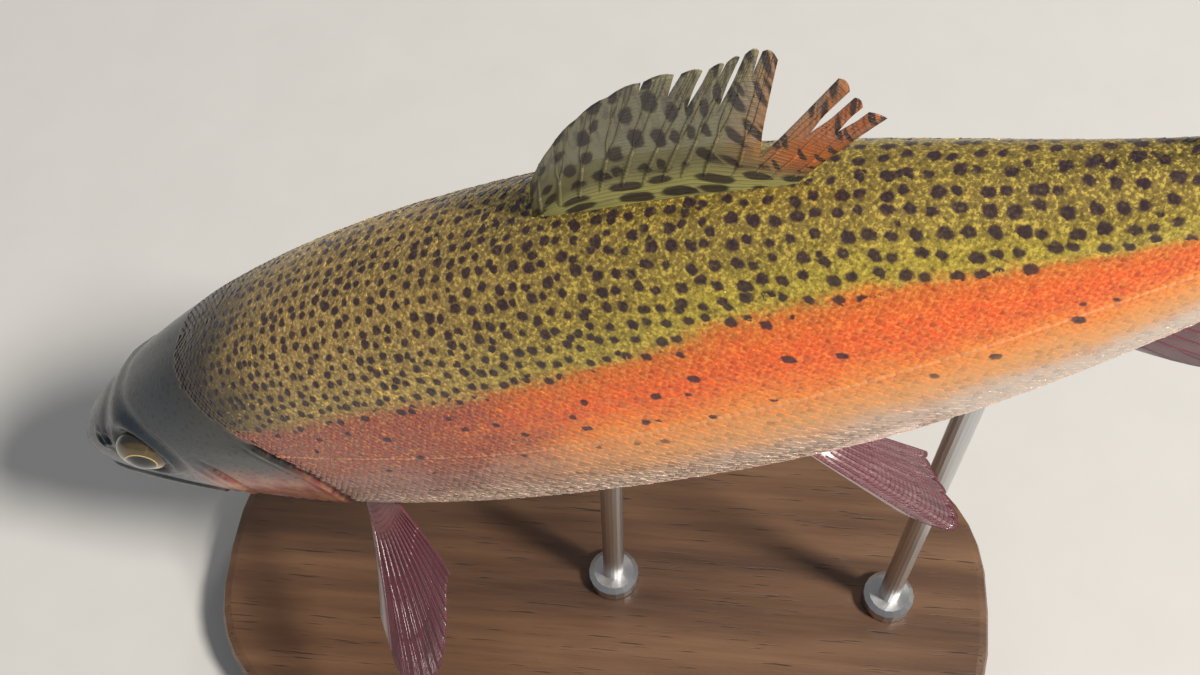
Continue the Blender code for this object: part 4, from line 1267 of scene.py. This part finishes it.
def make_fin_finish(name, web, ray, foot, spot_chance, warm_from, pale_edge, streak):
    made, tree, shader = new_finish(name, Coat_Weight=0.5, Coat_Roughness=0.15, IOR=1.4)
    rays_back, out_along, is_ray = read_parts(tree, "fin_place")
    flat = read(tree, "fin_flat")
    mottle = noise(tree, here(tree), 300.0, 4.0)
    colour = mix(tree, mottle, web, ray)
    colour = mix(tree, times(tree, is_ray, 0.6), colour, ray)
    near_foot = between(tree, out_along, 0.36, 0.10)
    folds = times(tree, noise(tree, stretched(tree, flat, 0.5, 3.5, 1.0), 1.0, 3.0), near_foot)
    at_foot = mix(tree, between(tree, folds, 0.35, 0.65), foot, colour)
    colour = mix(tree, times(tree, near_foot, 0.80), colour, at_foot)
    warm = times(tree, between(tree, rays_back, warm_from, warm_from + 0.30),
                 between(tree, out_along, 0.20, 0.46))
    colour = mix(tree, warm, colour, mix(tree, mottle, FIN_ORANGE, FIN_RUST))
    streaks = between(tree, noise(tree, stretched(tree, flat, 4.0, 0.6, 1.0), 1.0), 0.46, 0.60)
    streaks = times(tree, streaks, between(tree, out_along, 0.45, 0.85), streak)
    colour = mix(tree, streaks, colour, FIN_STREAK)
    joints = between(tree, do(tree, "SINE", times(tree, out_along, 230.0)), 0.6, 1.0)
    colour = mix(tree, times(tree, joints, is_ray, 0.35), colour, RAY_JOINT)
    spots = fin_spots(tree, flat, out_along, spot_chance)
    colour = mix(tree, times(tree, spots, 0.92), colour, FIN_SPOT)
    front = times(tree, between(tree, rays_back, 0.05, 0.0), pale_edge)
    colour = mix(tree, front, colour, PALE_EDGE)
    clear = times(tree, opposite(tree, is_ray), between(tree, out_along, 0.10, 0.45), opposite(tree, spots))
    fill(tree, shader, Base_Color=colour, Alpha=do(tree, "MULTIPLY_ADD", clear, -0.24, 1.0),
         Roughness=do(tree, "MULTIPLY_ADD", mottle, 0.25, 0.25))
    relief(tree, shader, do(tree, "ADD", do(tree, "ADD", mottle, folds), joints), 0.00008)
    return made


# Colours of web, ray and foot, then spots, where the warm hind part starts, edge and streaks.
OLIVE_FIN = make_fin_finish("olive_fin_web", (0.250, 0.240, 0.122), (0.165, 0.142, 0.068),
                            (0.400, 0.370, 0.100), 0.90, 0.62, 0.0, 0.6)
TAIL_FINISH = make_fin_finish("tail_fin_web", (0.210, 0.180, 0.085), (0.150, 0.110, 0.045),
                              (0.240, 0.200, 0.070), 0.80, 2.0, 0.0, 0.4)
LOW_FIN = make_fin_finish("low_fin_web", (0.190, 0.055, 0.070), (0.130, 0.032, 0.048),
                          (0.240, 0.090, 0.085), 0.0, 2.0, 0.60, 0.5)

# %% [markdown]
# The web is built as strips, one for each ray, so that a slit is only a narrower strip. Where
# there is no slit the strips meet, and a weld joins them. Then the sheet is given a thickness,
# full at the fleshy root and thin at the tips. Cutting slits in a finished sheet would be rougher.

# %% Fin web
TIP_NICK = 0.03             # half the notch between two ray tips, in rays
TIP_ROUNDING = 0.018        # how much shorter the web is beside a ray's tip, a share of the ray
TEAR_REACH = 5              # how many rays ahead of the tear are pushed aside


def slit_gap(fin, border, v):
    """Half the gap between two neighbouring rays, in rays, at the share v of their length."""
    if border <= 0 or border >= fin["rays"]:
        return 0 * v
    nick = TIP_NICK * smooth((v - 0.95) / 0.05) * (border > 0.25 * fin["rays"])
    start, width = fin.get("slits", {}).get(border, (1.0, 0.0))
    return np.maximum(width * smooth((v - start) / 0.20), nick)


def fin_surface(fin, rays_back, v):
    """Placed points of the fin's middle sheet, rays_back from its front and v of the way out."""
    u = rays_back / fin["rays"]
    flat = fin["form"](fin, u, v)
    if "tear" in fin:
        border, start, (forward, upward) = fin["tear"]
        ahead = border - rays_back
        pushed = smooth(1 - ahead / TEAR_REACH) * (ahead > 0)
        start = start * np.clip(1 - ahead / 2, 0, 1)
        pushed = pushed * np.maximum(v - start, 0) / (1 - start)
        flat = flat + np.stack([forward * pushed, 0 * pushed, upward * pushed], axis=-1)
    sway = fin["wave"] * v ** 2 * np.sin(2.2 * math.pi * u + 2.0 * v)
    sway = sway * (0.6 if "turn" in fin else 1.0)
    flat = flat + np.stack([0 * sway, sway, 0 * sway], axis=-1)
    return placed(flat.reshape(-1, 3) * STANDARD_LENGTH)


def fin_flat(fin, back, out):
    """Place in the lattice of spots: along the base and out from it, wider near the base."""
    along = back / fin["rays"] * fin.get("flat_length", 9.0)
    away = fin.get("flat_height", 8.5) * out ** 0.75 + 0 * back
    return np.stack([along * (0.55 + 0.75 * out), away, 0 * away], axis=-1).reshape(-1, 3)


def weld_and_thicken(made, fin):
    """Join the rays' strips where they meet and give the sheet its thickness, fleshy at the root."""
    weld = made.modifiers.new("weld", "WELD")
    weld.merge_threshold = 0.000001
    group = made.vertex_groups.new(name="flesh")
    facts = np.empty(len(made.data.vertices) * 3, dtype=np.float32)
    made.data.attributes["fin_place"].data.foreach_get("vector", facts)
    back, out = facts.reshape(-1, 3)[:, 0], facts.reshape(-1, 3)[:, 1]
    flesh = 1 - smooth((out - 0.02) / 0.30)
    flesh = 0.08 + 0.92 * flesh * (0.3 + 0.7 * smooth(back / 0.12))
    for index, share in enumerate(flesh):
        group.add([index], float(share), "REPLACE")
    shell = made.modifiers.new("thickness", "SOLIDIFY")
    shell.thickness = 2.2 * fin["thick"] + 0.0006
    shell.offset = 0.0
    shell.vertex_group = "flesh"


def make_web(fin, finish, name, rows=30, columns=4):
    v = np.linspace(0, 1, rows + 1)[None, :]
    c = np.linspace(0, 1, columns + 1)[:, None]
    out = v * (1 - TIP_ROUNDING * (2 * c - 1) ** 2 * v ** 8)
    points, faces, facts, flats = [], [], [], []
    for ray in range(fin["rays"]):
        left = ray + slit_gap(fin, ray, v)
        right = ray + 1 - slit_gap(fin, ray + 1, v)
        back = left + (right - left) * c
        first = sum(len(p) for p in points)
        points.append(fin_surface(fin, back, out))
        facts.append(np.stack([back / fin["rays"], out, 0 * back], -1).reshape(-1, 3))
        flats.append(fin_flat(fin, back, out))
        for k in range(columns):
            for j in range(rows):
                a = first + k * (rows + 1) + j
                faces.append((a, a + rows + 1, a + rows + 2, a + 1))
    made = add_piece(name, np.vstack(points), faces, finish,
                     {"fin_place": np.vstack(facts), "fin_flat": np.vstack(flats)})
    weld_and_thicken(made, fin)
    return made


# %% [markdown]
# A ray is a stem of little bones that forks in two about half way out, and in two again near the
# tip. The front ray stays whole, and so does the tail's last. Curves with a bevel would do, but
# tubes on the web's own sheet are sure to lie in it, and can carry its places for the finish.

# %% Fin rays
THINNEST_RAY = 0.00012      # radius in metres, so that a tip never lies flush with the web
FIRST_FORK = 0.16           # how far the two branches part, in rays
# Each part of a ray: from where to where along it, and how far its branches stand aside.
RAY_PARTS = ((0.02, 0.48, (0.0,)), (0.46, 0.76, (-FIRST_FORK, FIRST_FORK)),
             (0.74, 0.985, (-0.25, -0.09, 0.09, 0.25)))


def tube(path, radii, sides=6):
    """Points and faces of a tube along a path, closed at both ends."""
    ahead = np.gradient(path, axis=0)
    ahead = ahead / np.linalg.norm(ahead, axis=-1, keepdims=True)
    helper = np.array([0.0, 1.0, 0.0]) if abs(ahead[0, 1]) < 0.8 else np.array([1.0, 0.0, 0.0])
    first = np.cross(ahead, helper)
    first = first / np.linalg.norm(first, axis=-1, keepdims=True)
    second = np.cross(ahead, first)
    turn = 2 * math.pi * np.arange(sides) / sides
    ring = first[:, None, :] * np.cos(turn)[None, :, None] + second[:, None, :] * np.sin(turn)[None, :, None]
    points = path[:, None, :] + ring * radii[:, None, None]
    faces = ring_faces(len(path), sides)
    caps = [(0, k + 1, k) for k in range(1, sides - 1)]
    last = (len(path) - 1) * sides
    caps += [(last, last + k, last + k + 1) for k in range(1, sides - 1)]
    return points.reshape(-1, 3), [tuple(f) for f in faces] + caps


def branch_path(fin, ray, v, offset, from_offset):
    """One branch of a ray: where it lies in rays, and its points."""
    aside = from_offset + (offset - from_offset) * smooth((v - v[0]) / 0.16)
    squeeze = 1 - 2 * np.maximum(slit_gap(fin, ray, v), slit_gap(fin, ray + 1, v))
    back = ray + 0.5 + aside * squeeze
    return back, fin_surface(fin, back, v)


def make_rays(fin, finish, name):
    """Every ray of a fin, each a stem that forks twice, joined in one mesh."""
    points, faces, facts, flats = [], [], [], []
    for ray in range(fin["rays"]):
        is_whole = ray == 0 or (fin["form"] is tail_fin and ray == fin["rays"] - 1)
        for part, (start, stop, offsets) in enumerate(RAY_PARTS):
            v = np.linspace(start, stop, 12)
            radii = fin["thick"] * (1.0 - 0.80 * v ** 0.8) * (1.0 if part == 0 else 0.85)
            for offset in ((0.0,) if is_whole else offsets):
                from_offset = 0.0 if is_whole or part < 2 else math.copysign(FIRST_FORK, offset)
                back, path = branch_path(fin, ray, v, offset, from_offset)
                made_points, made_faces = tube(path, np.maximum(radii, THINNEST_RAY))
                first = sum(len(p) for p in points)
                points.append(made_points)
                faces += [tuple(first + k for k in f) for f in made_faces]
                around = len(made_points) // len(v)
                fact = np.stack([back / fin["rays"], v, np.ones_like(v)], -1)
                facts.append(np.repeat(fact, around, axis=0))
                flats.append(np.repeat(fin_flat(fin, back, v), around, axis=0))
    return add_piece(name, np.vstack(points), faces, finish,
                     {"fin_place": np.vstack(facts), "fin_flat": np.vstack(flats)})


def make_fin(fin, finish, side=""):
    node = fin["node"] + side
    web = make_web(fin, finish, node.replace("_fin", "_web"))
    rays = make_rays(fin, finish, node.replace("_fin", "_rays"))
    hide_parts(node)
    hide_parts(node)


make_fin(DORSAL, OLIVE_FIN)
make_fin(ANAL, LOW_FIN)
make_fin(TAIL, TAIL_FINISH)
for word, turn_out in (("_left", -1), ("_right", 1)):
    make_fin(dict(PECTORAL, turn=turn_out), LOW_FIN, word)
    make_fin(dict(PELVIC, turn=turn_out), LOW_FIN, word)


# %% [markdown]
# The adipose fin has no rays: it is a small soft flap of fat. A subdivided cube could be pulled
# into shape, but two curved sheets that meet at the rim follow the same outline as its solid.

# %% Adipose fin
LOBE_FOOT = 0.0045          # half its thickness at the foot, a share of length
LOBE_TAPER = 0.0025         # how much of that is lost at the tip


def make_adipose(columns=24, rows=20):
    u, v = np.meshgrid(np.linspace(0, 1, columns + 1), np.linspace(0, 1, rows + 1), indexing="ij")
    flat = fat_fin(ADIPOSE, u, v)
    rim = np.minimum(np.minimum(u, 1 - u) * 4, 1) * np.minimum((1 - v) * 3, 1)
    half = (LOBE_FOOT - LOBE_TAPER * v) * np.sqrt(np.clip(rim, 0, 1))
    sheets = [flat + np.stack([0 * half, turn * half, 0 * half], -1) for turn in (-1, 1)]
    points = placed(np.vstack([sheet.reshape(-1, 3) for sheet in sheets]) * STANDARD_LENGTH)
    faces, count = [], (columns + 1) * (rows + 1)
    for i in range(columns):
        for j in range(rows):
            a = i * (rows + 1) + j
            faces.append((a, a + 1, a + rows + 2, a + rows + 1))
            faces.append((count + a, count + a + rows + 1, count + a + rows + 2, count + a + 1))
    facts = np.stack([0.2 + 0 * u, 0.2 + 0 * u, 1 + 0 * u], -1).reshape(-1, 3)
    flats = np.stack([u * 3, v * 4, 0 * u], -1).reshape(-1, 3)
    made = add_piece("adipose_lobe", points, faces, OLIVE_FIN,
                     {"fin_place": np.vstack([facts, facts]), "fin_flat": np.vstack([flats, flats])})
    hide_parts(ADIPOSE["node"])


make_adipose()

# %% [markdown]
# ## The stand
# The base and the rods keep their solids, since a flat plank and straight rods need only a
# finish. Oiled walnut is long grain in bands of brown, with dark pores drawn out along the plank.
# The rods are steel brushed along their length. Both are noise, stretched along the piece.

# %% Stand finishes
WALNUT_DARK = (0.045, 0.020, 0.010)
WALNUT_BROWN = (0.115, 0.055, 0.026)
WALNUT_LIGHT = (0.200, 0.105, 0.052)
FIBRE_BROWN = (0.060, 0.028, 0.014)
PORE_BROWN = (0.018, 0.009, 0.005)
STEEL_DARK = (0.46, 0.46, 0.47)
STEEL_LIGHT = (0.66, 0.66, 0.66)


def ramp(tree, value, stops):
    """A colour for each value: stops are (value, colour) pairs."""
    made = tree.nodes.new("ShaderNodeValToRGB")
    feed(tree, made.inputs[0], value)
    marks = made.color_ramp.elements
    while len(marks) < len(stops):
        marks.new(0.5)
    for mark, (at, colour) in zip(marks, stops):
        mark.position = at
        mark.color = (*colour, 1.0)
    return made.outputs["Color"]


def make_walnut():
    made, tree, shader = new_finish("oiled_walnut", Coat_Weight=0.25, Coat_Roughness=0.25)
    bands = noise(tree, stretched(tree, here(tree), 6.0, 70.0, 70.0), 1.6, 5.0, 0.6)
    fibres = noise(tree, stretched(tree, here(tree), 40.0, 900.0, 900.0), 1.0, 4.0)
    pores = noise(tree, stretched(tree, here(tree), 90.0, 2200.0, 2200.0), 1.0, 2.0)
    pores = between(tree, pores, 0.62, 0.74)
    colour = ramp(tree, bands, ((0.30, WALNUT_DARK), (0.50, WALNUT_BROWN), (0.72, WALNUT_LIGHT)))
    colour = mix(tree, times(tree, fibres, 0.35), colour, FIBRE_BROWN)
    colour = mix(tree, times(tree, pores, 0.8), colour, PORE_BROWN)
    fill(tree, shader, Base_Color=colour, Roughness=do(tree, "MULTIPLY_ADD", fibres, 0.25, 0.32))
    relief(tree, shader, do(tree, "SUBTRACT", fibres, pores), 0.00008)
    return made


def make_steel():
    made, tree, shader = new_finish("satin_steel", Metallic=1.0, Anisotropic=0.5)
    lines = noise(tree, stretched(tree, here(tree), 6000.0, 6000.0, 60.0), 1.0, 3.0)
    fill(tree, shader, Base_Color=mix(tree, lines, STEEL_DARK, STEEL_LIGHT),
         Roughness=do(tree, "MULTIPLY_ADD", lines, 0.22, 0.22))
    relief(tree, shader, lines, 0.00002)
    return made


def dress(node, finish):
    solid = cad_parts[node]
    solid.data.materials.clear()
    solid.data.materials.append(finish)
    solid.data.shade_smooth()
    solid.data.set_sharp_from_angle(angle=math.radians(30))


dress("stand_base", make_walnut())
STEEL = make_steel()
for rod in ("stand_rod_front", "stand_rod_rear"):
    dress(rod, STEEL)

# %% [markdown]
# ## Floor and light
# A plain pale floor and soft studio light keep attention on the fish. The key light is small and
# warm, so the scales glint one by one. The other two only brighten: they don't show in gloss,
# where they would lay a grey haze over wet skin. The world fills the shadows.

# %% Floor and lights
FLOOR_REACH = 12.0          # metres
FLOOR_DROP = 0.0002         # just under the base, so that the two never share a face
FLOOR_GREY = (0.50, 0.49, 0.475)
FLOOR_PALE = (0.54, 0.53, 0.515)
SKY_TINT = (0.92, 0.95, 1.0)


def make_floor():
    mesh = bpy.data.meshes.new("floor")
    turns = ((-1, -1), (1, -1), (1, 1), (-1, 1))
    corners = [(x * FLOOR_REACH, y * FLOOR_REACH, -FLOOR_DROP) for x, y in turns]
    mesh.from_pydata(corners, [], [(0, 1, 2, 3)])
    made, tree, shader = new_finish("pale_floor", Roughness=0.7)
    speck = noise(tree, here(tree), 60.0, 4.0)
    fill(tree, shader, Base_Color=mix(tree, speck, FLOOR_GREY, FLOOR_PALE))
    mesh.materials.append(made)
    floor = bpy.data.objects.new("floor", mesh)
    bpy.context.collection.objects.link(floor)


def add_light(name, place, size, power, tint, shows_in_gloss=True):
    lamp = bpy.data.lights.new(name, "AREA")
    lamp.shape = "DISK"
    lamp.size = size
    lamp.energy = power
    lamp.color = tint
    made = bpy.data.objects.new(name, lamp)
    bpy.context.collection.objects.link(made)
    made.location = place
    made.visible_glossy = shows_in_gloss
    aim = Vector((0, 0, AXIS_HEIGHT)) - Vector(place)
    made.rotation_euler = aim.to_track_quat("-Z", "Y").to_euler()
    print("light", name, "gives", power, "W from", round(aim.length, 2), "m")


def light_world(strength):
    world = bpy.data.worlds.new("studio")
    world.use_nodes = True
    background = world.node_tree.nodes["Background"]
    fill(world.node_tree, background, Color=SKY_TINT, Strength=strength)
    bpy.context.scene.world = world


make_floor()
add_light("key", (1.00, -0.40, 1.40), 0.30, 42.0, (1.0, 0.95, 0.87))
add_light("fill", (-1.40, -1.30, 0.45), 1.20, 4.0, (0.92, 0.96, 1.0), False)
add_light("back", (0.50, 1.40, 0.90), 0.30, 4.5, (1.0, 0.98, 0.94), False)
light_world(0.26)
bpy.context.scene.view_settings.view_transform = "Standard"
